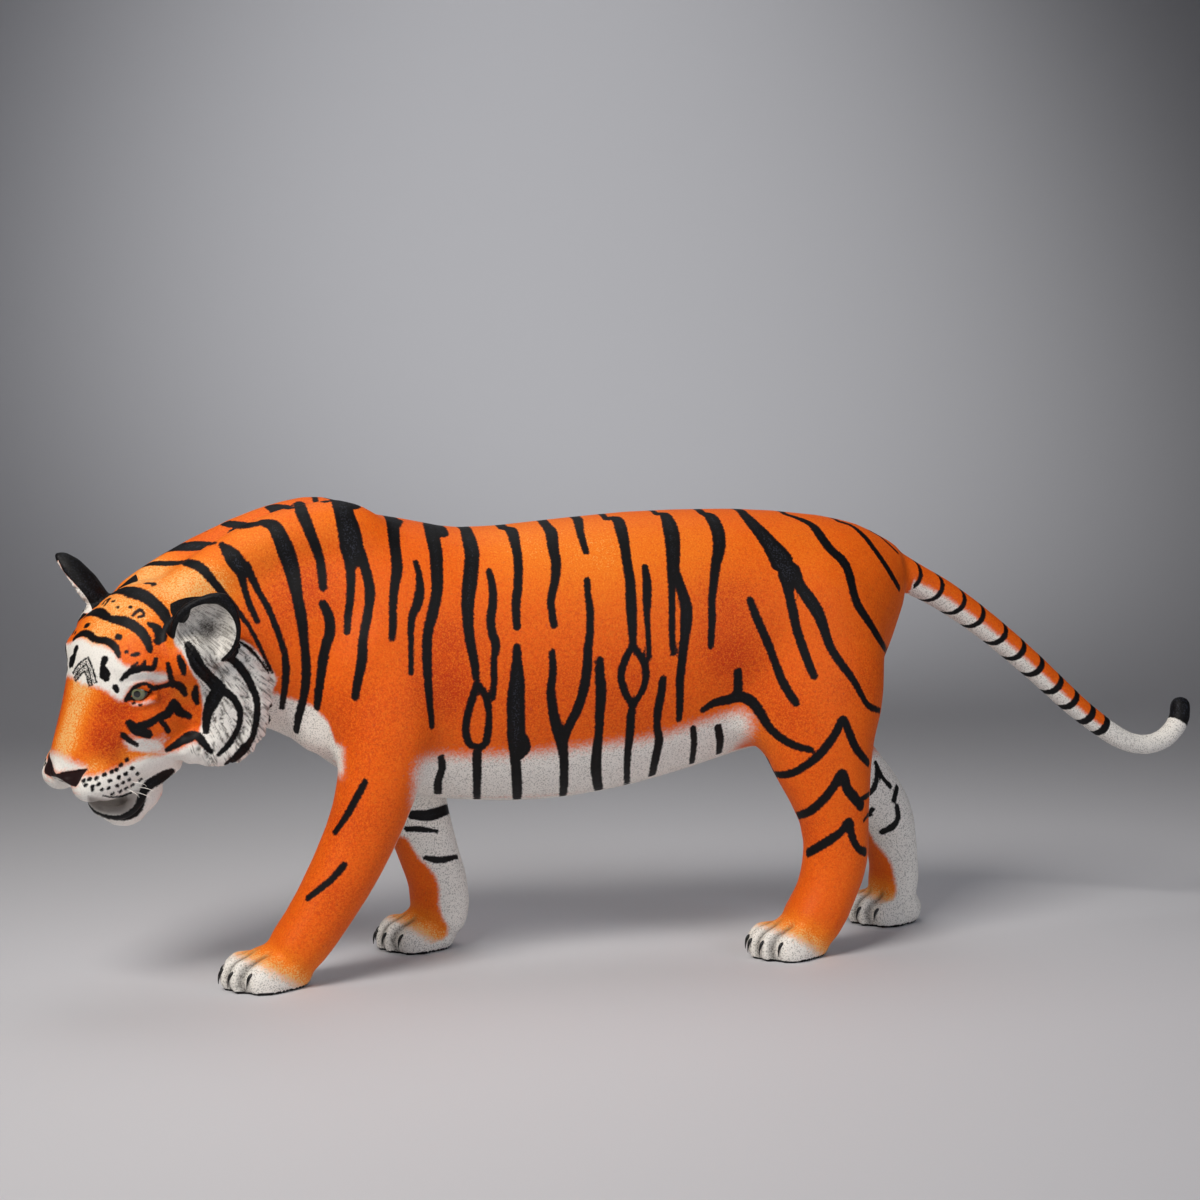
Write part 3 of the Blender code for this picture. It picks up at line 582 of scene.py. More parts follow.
def curve_through(rows, step):
    """Rows along a smooth curve through the given rows (Catmull-Rom), about one step apart."""
    rows = np.array(rows, float)
    padded = np.vstack([2 * rows[0] - rows[1], rows, 2 * rows[-1] - rows[-2]])
    out = []
    for i in range(1, len(padded) - 2):
        a, b, c, d = padded[i - 1:i + 3]
        count = max(int(np.linalg.norm((c - b)[:2]) / step), 1)
        for t in np.arange(count) / count:
            out.append(0.5 * (2 * b + (c - a) * t + (2 * a - 5 * b + 4 * c - d) * t * t
                              + (3 * b - a - 3 * c + d) * t ** 3))
    out.append(rows[-1])
    return np.array(out)


def smooth(low, high, value):
    """0 below low, 1 above high, and a soft step between."""
    t = np.clip((value - low) / (high - low), 0, 1)
    return t * t * (3 - 2 * t)


def tube(bm, rings):
    """A closed tube through rings of points, with a fan over each end."""
    loops = [[bm.verts.new(p) for p in ring] for ring in rings]
    count = len(loops[0])
    for one, two in zip(loops, loops[1:]):
        for i in range(count):
            j = (i + 1) % count
            bm.faces.new((one[i], one[j], two[j], two[i]))
    for ring, loop, turn in ((rings[0], loops[0], -1), (rings[-1], loops[-1], 1)):
        hub = bm.verts.new(sum(ring, Vector()) / count)
        for i in range(count):
            bm.faces.new((loop[i], loop[(i + 1) % count], hub)[::turn])


def add_ball(bm, place, half_sizes, rings=11, around=20):
    """An ellipsoid."""
    size = place @ Matrix.Diagonal((*half_sizes, 1))
    pole = radians(4)
    loops = []
    for rise in np.linspace(pole - pi / 2, pi / 2 - pole, rings):
        loops.append([size @ Vector((cos(rise) * cos(a), cos(rise) * sin(a), sin(rise)))
                      for a in np.arange(around) * 2 * pi / around])
    tube(bm, loops)


def add_rope(bm, place, rows, around=12):
    """A round form through rows of forward, left, up and radius, with balls at its ends."""
    rows = curve_through(rows, 0.8)
    tangents = np.gradient(rows[:, :3], axis=0)
    loops = []
    for row, tangent in zip(rows, tangents):
        tangent = Vector(tangent).normalized()
        side = tangent.cross(Vector((1, 0, 0.3))).normalized()
        over = tangent.cross(side)
        loops.append([place @ (Vector(row[:3]) + (side * cos(a) + over * sin(a)) * row[3])
                      for a in np.arange(around) * 2 * pi / around])
    tube(bm, loops)
    for row in (rows[0], rows[-1]):
        add_ball(bm, place @ Matrix.Translation(row[:3]), (row[3],) * 3, rings=7, around=12)


def remeshed(bm, grid):
    """A new bmesh of the closed forms' common surface, on an even grid."""
    bmesh.ops.recalc_face_normals(bm, faces=bm.faces)
    rough = bpy.data.objects.new("rough", bpy.data.meshes.new("rough"))
    bm.to_mesh(rough.data)
    bm.free()
    bpy.context.scene.collection.objects.link(rough)
    skin = rough.modifiers.new("even grid", "REMESH")
    skin.mode = "VOXEL"
    skin.voxel_size = grid
    skin.adaptivity = 0
    graph = bpy.context.evaluated_depsgraph_get()
    mesh = bpy.data.meshes.new_from_object(rough.evaluated_get(graph))
    bpy.data.objects.remove(rough, do_unlink=True)
    out = bmesh.new()
    out.from_mesh(mesh)
    bpy.data.meshes.remove(mesh)
    return out


def solid_copy():
    """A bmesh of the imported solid's surface, with its loose triangles merged."""
    bm = bmesh.new()
    bm.from_mesh(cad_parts["tiger"].data)
    bmesh.ops.remove_doubles(bm, verts=bm.verts, dist=0.01 * MM)
    return bm


def cut_neck(bm, forward, keep_head):
    """Cuts the neck square to the head's forward line, and keeps the head or the rest."""
    head = head_matrix()
    middle = head @ Vector((forward, 0, 0))
    ahead = (head.to_3x3() @ Vector((1, 0, 0))).normalized()
    floor = at(0, 0, NECK_LOWEST).z

    def near(face):
        centre = face.calc_center_median()
        return centre.z > floor and (centre - head.translation).length < HEAD_REACH * SHARE

    faces = [f for f in bm.faces if near(f)]
    geometry = faces + list({e for f in faces for e in f.edges}) + list({v for f in faces for v in f.verts})
    bmesh.ops.bisect_plane(bm, geom=geometry, plane_co=middle, plane_no=ahead, dist=1e-8)
    drop = []
    for face in bm.faces:
        in_front = (face.calc_center_median() - middle).dot(ahead) > 0 and near(face)
        if in_front != keep_head:
            drop.append(face)
    bmesh.ops.delete(bm, geom=drop, context="FACES")


def arrays(bm):
    """Vertex places and edges of a bmesh as arrays."""
    bm.verts.index_update()
    places = np.array([v.co for v in bm.verts])
    edges = np.array([[v.index for v in e.verts] for e in bm.edges])
    return places, edges


def relaxed(places, edges, passes):
    """Rounds facets off without shrinking the form: each pass smooths, then swells as much."""
    count = len(places)
    ends, others = np.concatenate([edges, edges[:, ::-1]]).T
    weight = np.bincount(ends, minlength=count)[:, None]
    for factor in ROUNDING * passes:
        mean = np.stack([np.bincount(ends, places[others, k], count) for k in range(3)], 1) / weight
        places = places + factor * (mean - places)
    return places


def relax(bm, passes):
    """Rounds a bmesh's facets off, and keeps its soles on the floor."""
    places, edges = arrays(bm)
    flat = places[:, 2] < SOLE_HEIGHT
    places = relaxed(places, edges, passes)
    places[flat, 2] = 0
    for vertex, place in zip(bm.verts, places):
        vertex.co = place


def head_skin(grid):
    """The head and the front of the neck on a fine grid, with eyelids, nose and lip forms added."""
    bm = solid_copy()
    cut_neck(bm, NECK_BACK - NECK_SPARE, keep_head=True)
    bmesh.ops.holes_fill(bm, edges=[e for e in bm.edges if e.is_boundary])
    bm = remeshed(bm, FIRST_GRID * grid)
    relax(bm, passes=10)
    place = head_matrix()
    for side in (1, -1):
        mirror = place @ Matrix.Diagonal((1, side, 1, 1))
        for centre, half_sizes, pitch in HEAD_BALLS:
            spot = mirror @ Matrix.Translation(centre) @ Matrix.Rotation(radians(pitch), 4, "Y")
            add_ball(bm, spot, half_sizes)
        for rope in HEAD_ROPES:
            add_rope(bm, mirror, rope)
    bm = remeshed(bm, grid)
    relax(bm, passes=3)
    cut_neck(bm, NECK_BACK + NECK_GAP, keep_head=True)
    return bm


def body_skin(grid):
    """Everything behind the neck cut."""
    bm = remeshed(solid_copy(), grid)
    relax(bm, passes=5)
    cut_neck(bm, NECK_BACK, keep_head=False)
    return bm


def whole_skin(body_grid, head_grid):
    """The body and the head as one closed mesh, joined by a narrow band round the neck. The head's
    faces are marked 1."""
    bm = body_skin(body_grid)
    head = head_skin(head_grid)
    mark = bm.faces.layers.int.new("on head")
    body = set(bm.faces)
    spare = bpy.data.meshes.new("spare")
    head.to_mesh(spare)
    head.free()
    bm.from_mesh(spare)
    bpy.data.meshes.remove(spare)
    for face in bm.faces:
        face[mark] = face not in body
    rim = [e for e in bm.edges if e.is_boundary]
    bmesh.ops.bridge_loops(bm, edges=rim)
    if any(not e.is_manifold for e in bm.edges):
        raise RuntimeError("the neck's band doesn't close")
    bmesh.ops.recalc_face_normals(bm, faces=bm.faces)
    return bm


class Surface:
    """A bmesh's surface with the photograph's lines of sight and the mirror of each side."""

    def __init__(self, bm):
        self.bm = bm
        self.tree = BVHTree.FromBMesh(bm)
        self.view = view_matrix()
        self.eye = self.view.translation
        self.focal = LENS / FILM * FRAME_PIXELS
        self.head = head_matrix()
        self.to_head = self.head.inverted()
        self.turn = np.array(self.head.to_3x3()) / SHARE
        self.pixel_size = (self.head.translation - self.eye).length / self.focal

    def seen(self, px, py, last=None):
        """The surface point that a pixel shows, or the nearest one to its line of sight."""
        middle = FRAME_PIXELS / 2
        line = self.view.to_3x3() @ Vector((px - middle, middle - py, -self.focal))
        line.normalize()
        hit = self.tree.ray_cast(self.eye, line)[0]
        if hit is None:
            near = last if last is not None else at(0, 0, 50)
            depth = (near - self.eye).dot(line)
            hit = self.tree.find_nearest(self.eye + line * depth)[0]
        return hit

    def pixel(self, point):
        """How long a pixel is at a point, in metres."""
        return (point - self.eye).length / self.focal

    def in_head(self, places):
        """Places in the head's own frame."""
        return (places - np.array(self.head.translation)) @ self.turn / SHARE

    def shown(self, places):
        """The pixels at which the photograph shows places."""
        seen = (places - np.array(self.eye)) @ np.array(self.view.to_3x3())
        return FRAME_PIXELS / 2 + self.focal * seen[:, :2] * (1, -1) / -seen[:, 2:]

    def face_shown(self, places):
        """The pixels of places on the head, with its right side taken as its left."""
        local = self.in_head(places)
        local[:, 1] = np.abs(local[:, 1])
        return self.shown(local @ self.turn.T * SHARE + np.array(self.head.translation))

    def other_side(self, point, on_head):
        """The matching point of the right side."""
        if on_head:
            local = self.to_head @ point
            twin = self.head @ Vector((local.x, -local.y, local.z))
        else:
            own = point / SHARE + STANCE
            own.x += float(leg_shift(np.array([own]))[0])
            own.y = -own.y
            twin = (own - STANCE) * SHARE
        return self.tree.find_nearest(twin)[0]

    def over_spine(self, places):
        """A stroke that begins close to the spine, carried up to it."""
        point, half = places[0]
        own = point / SHARE + STANCE
        if own.z < SPINE_LOW or abs(own.y) > SPINE_REACH:
            return places
        rows = [self.tree.find_nearest(at(own.x, own.y * share, own.z + SPINE_RISE * (1 - share)))[0]
                for share in np.linspace(0, 1, SPINE_STEPS, endpoint=False)]
        return [(row, half) for row in rows] + places

    def strokes(self, groups, both=True):
        """Brush strokes laid on the body: places with half widths, for one side or both."""
        out = []
        for stroke in groups:
            places = []
            for px, py, width in curve_through(stroke, 1.5):
                point = self.seen(px, py, places[-1][0] if places else None)
                places.append((point, 0.5 * (width * BRUSH_PRESSURE + BRUSH_SPREAD) * self.pixel(point)))
            if both:
                places = self.over_spine(places)
            out.append(places)
            if both:
                out.append([(self.other_side(point, False), half) for point, half in places])
        return out

    def spots(self, groups, on_head=False):
        """Sprayed spots laid on both sides of the surface: place, reach and strength."""
        out = []
        for px, py, reach, strength in groups:
            point = self.seen(px, py)
            for place in (point, self.other_side(point, on_head)):
                out.append((place, reach * self.pixel(point), strength))
        return out


def sprayed(places, spots):
    """How much of the sprayed spots each place gets, from 0 to 1."""
    out = np.zeros(len(places))
    for point, reach, strength in spots:
        distance = np.linalg.norm(places - np.array(point), axis=1)
        out = 1 - (1 - out) * (1 - strength * np.exp(-SPRAY_FALL * (distance / reach) ** 2))
    return out


def brushed(places, normals, strokes, grid):
    """For each place, the stroke whose edge is nearest: signed distance across it, distance, and
    half width.

    A thin stroke runs between the grid's points, so its distance is drawn in by up to half a
    square, and the signed distance draws its edges. A wide stroke is drawn by its distance."""
    points, tangents, halves = [], [], []
    for stroke in strokes:
        line = np.array([point for point, half in stroke])
        along = np.gradient(line, axis=0) if len(line) > 1 else np.array([[0, 0, 1.0]])
        points.extend(line)
        tangents.extend(along / np.maximum(np.linalg.norm(along, axis=1), 1e-9)[:, None])
        halves.extend(half for point, half in stroke)
    points, tangents, halves = np.array(points), np.array(tangents), np.array(halves)
    best = np.full(len(places), np.inf)
    nearest = np.zeros(len(places), int)
    for low, high in zip(BRUSHES, BRUSHES[1:]):
        chosen = np.nonzero((halves >= low) & (halves < high))[0]
        if len(chosen) == 0:
            continue
        tree = KDTree(len(chosen))
        for i, point in enumerate(points[chosen]):
            tree.insert(point, i)
        tree.balance()
        found = chosen[[tree.find(place)[1] for place in places]]
        gap = np.linalg.norm(places - points[found], axis=1) - halves[found]
        closer = gap < best
        best[closer] = gap[closer]
        nearest[closer] = found[closer]
    away = places - points[nearest]
    across = np.cross(normals, tangents[nearest])
    offset = np.einsum("ij,ij->i", away, across)
    half = halves[nearest]
    slack = 0.62 * grid * (1 - smooth(0.6 * grid, 1.1 * grid, half))
    return offset, np.linalg.norm(away, axis=1) - slack, half


def flat_strokes(groups, pixel_size):
    """Brush strokes as they lie in the photograph, in metres: places with half widths."""
    out = []
    for stroke in groups:
        rows = curve_through(stroke, 0.8) * pixel_size
        out.append([((x, y, 0), 0.5 * width) for x, y, width in rows])
    return out


def within(flat, outline, fade):
    """How far inside a closed outline each pixel place lies: 0 outside, 1 a fade inside it."""
    rows = curve_through(outline + outline[:1], 3)
    out = np.zeros(len(flat))
    near = np.nonzero(((flat > rows.min(0) - fade) & (flat < rows.max(0) + fade)).all(1))[0]
    x, y = flat[near].T
    gap = np.full(len(near), np.inf)
    inside = np.zeros(len(near), bool)
    for (x0, y0), (x1, y1) in zip(rows, rows[1:]):
        dx, dy = x1 - x0, y1 - y0
        along = np.clip(((x - x0) * dx + (y - y0) * dy) / (dx * dx + dy * dy + 1e-12), 0, 1)
        gap = np.minimum(gap, np.hypot(x - x0 - along * dx, y - y0 - along * dy))
        if y0 != y1:
            inside ^= ((y0 > y) != (y1 > y)) & (x < x0 + (y - y0) * dx / dy)
    out[near] = smooth(-fade, fade, np.where(inside, gap, -gap))
    return out


def painted(flat, areas):
    """How much of some painted areas each pixel place gets, from 0 to 1."""
    out = np.zeros(len(flat))
    for outline, fade, strength in areas:
        out = np.maximum(out, strength * within(flat, outline, fade))
    return out


def below_line(surface, places, line, fade):
    """How far below a line of the left side each place lies, on either side, from 0 to 1."""
    seen = [surface.seen(px, py) for px, py in line]
    xs = np.array([p.x for p in seen])
    zs = np.array([p.z for p in seen])
    height = np.interp(places[:, 0], xs, zs)
    inside = smooth(xs[0] - fade, xs[0], places[:, 0]) * (1 - smooth(xs[-1], xs[-1] + fade, places[:, 0]))
    return inside * (1 - smooth(-0.5 * fade, 0.5 * fade, places[:, 2] - height))


def tail_fields(surface, places, fields):
    """Rings, white underside and end, and black tip of the tail."""
    line = curve_through([at(*p) for p in TAIL_LINE], TAIL_STEP)
    tangents = np.gradient(line, axis=0)
    lengths = np.concatenate([[0], np.cumsum(np.linalg.norm(np.diff(line, axis=0), axis=1))])
    tree = KDTree(len(line))
    for i, point in enumerate(line):
        tree.insert(point, i)
    tree.balance()
    rings = []
    for px, py in RING_PIXELS:
        rings.append(lengths[tree.find(surface.seen(px, py))[1]])
    shares = np.linspace(0, 1, len(rings))
    widths = np.interp(shares, (0, 1), RING_WIDTHS)
    cap = lengths[-1] - TAIL_CAP
    centres = np.array(rings + [cap + 2 * TAIL_CAP])
    halves = np.append(widths / 2, 2 * TAIL_CAP)
    bows = np.append(np.interp(shares, (0, 1), RING_BOW), 0)
    start = at(TAIL_START, 0, 0).x
    for index in np.nonzero(places[:, 0] > start)[0]:
        _, nearest, distance = tree.find(places[index])
        if distance > TAIL_REACH * SHARE or nearest == 0:
            continue
        tangent = Vector(tangents[nearest]).normalized()
        away = Vector(places[index] - line[nearest])
        along = lengths[nearest] + away.dot(tangent)
        away = (away - tangent * away.dot(tangent)).normalized()
        over = away.dot((Vector((0, 0, 1)) - tangent * tangent.z).normalized())
        bow = np.interp(along, centres[:len(rings)], bows[:len(rings)])
        run = along + bow * (1 - abs(away.y)) if along < cap - 2 * TAIL_CAP else along
        ring = int(np.argmin(np.abs(centres - run) - halves))
        fields["offset"][index] = run - centres[ring]
        fields["reach"][index] = abs(run - centres[ring])
        fields["half"][index] = halves[ring]
        beyond = smooth(rings[-1] - TAIL_STEP, rings[-1] + TAIL_STEP, along)
        under = 1 - smooth(-0.55, 0.15, over)
        fields["white"][index] = max(beyond, under * smooth(0, 4 * MM, along))
        fields["deep"][index] = 0
    return fields


def leg_shift(own):
    """How far behind the left leg the right one stands at each place."""
    out = np.zeros(len(own))
    for name, legs in (("fore", own[:, 0] <= LEGS_APART), ("hind", own[:, 0] > LEGS_APART)):
        heights, shifts = zip(*LEG_SHIFTS[name])
        out[legs] = np.interp(own[legs, 2], heights, shifts)
    return out


def leg_white(surface, own, normals):
    """White of the legs' inner sides. Both sides follow the figurine's far legs, whose front edge
    and paw are orange lower down."""
    twin = own.copy()
    near = own[:, 1] < 0
    twin[near, 0] += leg_shift(own[near])
    twin[:, 1] = np.abs(own[:, 1])
    flat = surface.shown((twin - np.array(STANCE)) * SHARE)
    orange = painted(flat, [(outline, INNER_FADE, 1.0) for outline in INNER_ORANGE])
    inner = -normals[:, 1] * np.sign(own[:, 1])
    legs = smooth(*INNER_FROM, np.abs(own[:, 1])) * (1 - smooth(LEG_TOP, LEG_TOP + LEG_FADE, own[:, 2]))
    return legs * smooth(-0.3, 0.25, inner + 0.35 * normals[:, 0]) * (1 - orange)


def paw_fields(own):
    """Toes: white round the front and the sole's edge, pale above it, and the grooves between."""
    white, pale, groove = (np.zeros(len(own)) for _ in range(3))
    for middle, size, width, turn in PAWS:
        spin = radians(turn)
        away = own[:, :2] - np.array(middle)
        ahead = -(away[:, 0] * cos(spin) + away[:, 1] * sin(spin)) / size
        across = (away[:, 1] * cos(spin) - away[:, 0] * sin(spin)) / (width * TOE_PITCH)
        near = 1 - smooth(0.62, 0.72, np.hypot(away[:, 0], away[:, 1]) / size)
        near *= 1 - smooth(10, 13, own[:, 2])
        run = ahead - 0.085 * (own[:, 2] - 1)
        white = np.maximum(white, near * smooth(-0.42, 0.06, run))
        pale = np.maximum(pale, near * smooth(-0.95, -0.2, run))
        cleft = np.exp(-(np.minimum(np.abs(across), np.abs(np.abs(across) - 1)) / 0.16) ** 2)
        front = smooth(0.02, 0.16, ahead) * (1 - smooth(6.5, 9, own[:, 2]))
        groove = np.maximum(groove, near * cleft * front)
    return white, pale, groove


def ear_fields(surface, places, normals):
    """Black of the ears' backs and rims, pale fur in their cups, and painted shade at the cups' bottom."""
    black, pale, dark = (np.zeros(len(places)) for _ in range(3))
    local = surface.in_head(places)
    facing = normals @ surface.turn
    for middle, half_sizes, stands, opens in EARS:
        up = Vector(stands).normalized()
        opening = Vector(opens)
        opening = (opening - up * opening.dot(up)).normalized()
        axes = np.array([up.cross(opening), up, opening]).T
        own = (local - np.array(middle)) @ axes / np.array(half_sizes)
        radial = np.hypot(own[:, 0], own[:, 1])
        front = facing @ np.array(opening)
        near = (1 - smooth(1.2, 1.35, np.linalg.norm(own, axis=1))) * smooth(-0.8, -0.5, own[:, 1])
        rim = smooth(0.74, 0.9, radial) * smooth(-0.7, -0.3, own[:, 1])
        black = np.maximum(black, near * np.maximum(1 - smooth(-0.15, 0.2, front), rim))
        cup = near * smooth(-0.1, 0.3, front) * (1 - smooth(0.8, 0.95, radial))
        pale = np.maximum(pale, cup)
        dark = np.maximum(dark, cup * (1 - smooth(0.1, 0.55, np.hypot(own[:, 0] - 0.1, own[:, 1] - 0.05))))
    return black, pale, dark


def random_field(across, along, seed):
    """Smooth random values from -1 to 1 over a grid one unit wide."""
    table = np.random.default_rng(seed).uniform(-1, 1, (256, 256))
    i, j = np.floor(across).astype(int), np.floor(along).astype(int)
    u, v = smooth(0, 1, across - i), smooth(0, 1, along - j)

    def corner(a, b):
        return table[(i + a) % 256, (j + b) % 256]

    return ((corner(0, 0) * (1 - u) + corner(1, 0) * u) * (1 - v)
            + (corner(0, 1) * (1 - u) + corner(1, 1) * u) * v)


def fur_fields(flat, pixel_size):
    """Coordinates across and along the carved strands, in metres."""
    away = flat - np.array(FUR_FROM)
    across = np.arctan2(away[:, 1], away[:, 0]) * FUR_SPAN * pixel_size
    return across, np.hypot(away[:, 0], away[:, 1]) * pixel_size


def carved(surface, places, normals, sizes):
    """Fur strands and grooves pushed into the head; also the strands' own fields."""
    flat = surface.face_shown(places)
    fur = within(flat, FUR_AREA, FUR_FADE)
    across, along = fur_fields(flat, surface.pixel_size)
    sway = 0.5 * random_field(across / FUR_SWAY, along / FUR_SWAY, 3)
    strands = random_field(across / sizes.strand * 1.7 + sway, along / FUR_LOCK, 5)
    hairs = random_field(across / sizes.strand * 3.6 + sway, along / FUR_SWAY, 7)
    furrow = np.clip(1 - np.abs(strands + 0.4 * hairs) * 4.2, 0, 1)
    depth = sizes.carving * fur * (furrow - 0.35 + 0.25 * hairs)
    for rows, half, deep in HEAD_GROOVES:
        for side in ((1, -1) if rows[0][1] else (1,)):
            line = curve_through([surface.head @ Vector((f, side * l, u)) for f, l, u in rows], 0.2 * MM)
            nearest = np.min([np.linalg.norm(places - p, axis=1) for p in line], axis=0)
            depth = depth + deep * MM * np.exp(-(nearest / (half * MM)) ** 2)
    return places - normals * depth[:, None], fur, across, along, furrow


def move(bm, places):
    """Moves a bmesh's points and gives its new normals."""
    for vertex, place in zip(bm.verts, places):
        vertex.co = place
    bm.normal_update()
    return np.array([v.normal for v in bm.verts])


def paint_fields(surface, sizes):
    """Every painting field of the finished skin, by attribute name."""
    bm = surface.bm
    bm.normal_update()
    places = np.array([v.co for v in bm.verts])
    normals = np.array([v.normal for v in bm.verts])
    own = places / SHARE + np.array(STANCE)
    local = surface.in_head(places)
    head = (local[:, 0] > NECK_BACK + NECK_GAP / 2) & (np.linalg.norm(local, axis=1) < HEAD_REACH)
    head &= own[:, 2] > NECK_LOWEST

    fields = {name: np.zeros(len(places)) for name in ATTRIBUTES}
    toe_white, toe_pale, groove = paw_fields(own)
    places = places - normals * (sizes.toe_groove * groove * smooth(0.2, 1.2, own[:, 2]))[:, None]
    moved, fur, across, along, furrow = carved(surface, places[head], normals[head], sizes)
    places[head] = moved
    for name, value in (("fur", fur), ("strand", across), ("lock", along), ("furrow", furrow)):
        fields[name][head] = value
    normals = move(bm, places)

    dots = [[(x, y, width), (x + 0.8, y - 0.6, width)] for width, row in WHISKER_SPOTS for x, y in row]
    specks = [[(x, y, width), (x + 1, y, width)] for x, y, width in SPECKS]
    flat = surface.face_shown(places[head])
    raised = np.column_stack([flat * surface.pixel_size, np.zeros(len(flat))])
    on_head = flat_strokes(HEAD_STRIPES + NECK_STRIPES + dots + specks, surface.pixel_size)
    on_body = surface.strokes(BODY_STRIPES) + surface.strokes(FAR_LEG_STRIPES, both=False)
    for part, spots, ways, strokes, grid in (
            (head, raised, np.array([[0, 0, 1.0]]), on_head, sizes.head_grid),
            (~head, places[~head], normals[~head], on_body, sizes.body_grid)):
        offset, reach, half = brushed(spots, ways, strokes, grid)
        fields["offset"][part] = offset
        fields["reach"][part] = reach
        fields["half"][part] = half

    # Deep: sprayed paint and painted shade in the hollows. Pale: sprayed paint and a painted highlight where
    # the light falls most.
    fields["deep"] = sprayed(places, surface.spots(DEEP_AND_SHADE_SPOTS) + surface.spots(HEAD_DEEP_AND_SHADE_SPOTS, True))
    pale = sprayed(places, surface.spots(PALE_AND_HIGHLIGHT_SPOTS) + surface.spots(HEAD_PALE_AND_HIGHLIGHT_SPOTS, True))
    fields["pale"] = np.maximum(pale, toe_pale)
    level = places.copy()
    right = own[:, 1] > 0
    level[right, 0] -= leg_shift(own[right]) * SHARE
    belly = below_line(surface, level, BELLY_LINE, BELLY_FADE)
    belly = belly * smooth(LEG_TOP - LEG_FADE, LEG_TOP, own[:, 2])
    throat = below_line(surface, places, THROAT_LINE, THROAT_FADE) * smooth(*THROAT_HEIGHTS, own[:, 2])
    white = np.maximum(belly, throat)
    middle = (1 - smooth(*BELLY_REACH, np.abs(own[:, 1]))) * (1 - smooth(-0.5, -0.1, normals[:, 2]))
    middle = middle * (own[:, 2] > LEG_TOP - LEG_FADE) * (own[:, 0] > CHEST) * (own[:, 2] < BELLY_TOP)
    white = np.maximum(white, middle)
    white = np.maximum(white, leg_white(surface, own, normals))
    white[head] = 0
    for name, areas in HEAD_AREAS.items():
        fields[name][head] = painted(flat, areas)
    under = smooth(0.25, 0.6, -normals[:, 2]) * (local[:, 2] < -8) * head
    fields["white"] = np.maximum(np.maximum(white, toe_white), np.maximum(fields["white"], under))
    fields["stipple"] = np.where(head, 0.25, 1.0)
    # Painted shade in the grooves between the toes.
    fields["shade"] = np.maximum(fields["shade"], 0.85 * groove)
    black, cup, dark = ear_fields(surface, places, normals)
    fields["white"] = np.maximum(fields["white"], cup)
    fields["fur"] = np.maximum(fields["fur"], 0.8 * cup)
    # Painted shade in the ears' cups, darkest at their bottom.
    fields["shade"] = np.maximum(fields["shade"], np.maximum(0.95 * dark, 0.3 * cup))
    edge = within(surface.shown(places), RIGHT_EAR_WHITE, RIGHT_EAR_FADE) * (local[:, 1] < -4) * head
    fields["white"] = np.maximum(fields["white"], edge)
    # Black along the very bottom, where the paws meet the floor.
    sole = 1 - smooth(0.3 * MM, 0.9 * MM, places[:, 2])
    fields["inked"] = np.maximum(np.maximum(black, fields["inked"]) * (1 - edge), sole)
    return tail_fields(surface, places, fields)


def node(tree, kind, inputs=None, **settings):
    """Adds a node with its settings; an input is given a value or another node's output."""
    made = tree.nodes.new(kind)
    for name, value in settings.items():
        setattr(made, name, value)
    for key, value in (inputs or {}).items():
        if isinstance(value, bpy.types.NodeSocket):
            tree.links.new(value, made.inputs[key])
        else:
            made.inputs[key].default_value = value
    return made


def maths(tree, operation, *values, clamp=False):
    """The output of one sum."""
    inputs = dict(enumerate(values))
    return node(tree, "ShaderNodeMath", inputs, operation=operation, use_clamp=clamp).outputs[0]


def swing(tree, value, middle, gain):
    """The output of how far a value stands from its middle, times a gain."""
    return maths(tree, "MULTIPLY", maths(tree, "SUBTRACT", value, middle), gain)


def noise(tree, spot, scale, **inputs):
    """The output of a noise texture."""
    inputs = {name.capitalize(): value for name, value in inputs.items()}
    return node(tree, "ShaderNodeTexNoise", {"Vector": spot, "Scale": scale, **inputs}).outputs["Fac"]


def mixed(tree, share, first, second):
    """The output of a colour mix."""
    mix = node(tree, "ShaderNodeMix", {0: share}, data_type="RGBA")
    for key, value in ((6, first), (7, second)):
        if isinstance(value, bpy.types.NodeSocket):
            tree.links.new(value, mix.inputs[key])
        else:
            mix.inputs[key].default_value = (*value, 1)
    return mix.outputs[2]


def stepped(tree, value, low, high):
    """The output of a soft step from low to high."""
    inputs = {"Value": value, "From Min": low, "From Max": high}
    return node(tree, "ShaderNodeMapRange", inputs, interpolation_type="SMOOTHSTEP").outputs[0]


def attribute(tree, name):
    return node(tree, "ShaderNodeAttribute", attribute_name=name).outputs["Fac"]


def new_material(name):
    """A material with an empty node tree, its Principled shader and its output."""
    material = bpy.data.materials.new(name)
    material.use_nodes = True
    tree = material.node_tree
    shader = tree.nodes["Principled BSDF"]
    return material, tree, shader


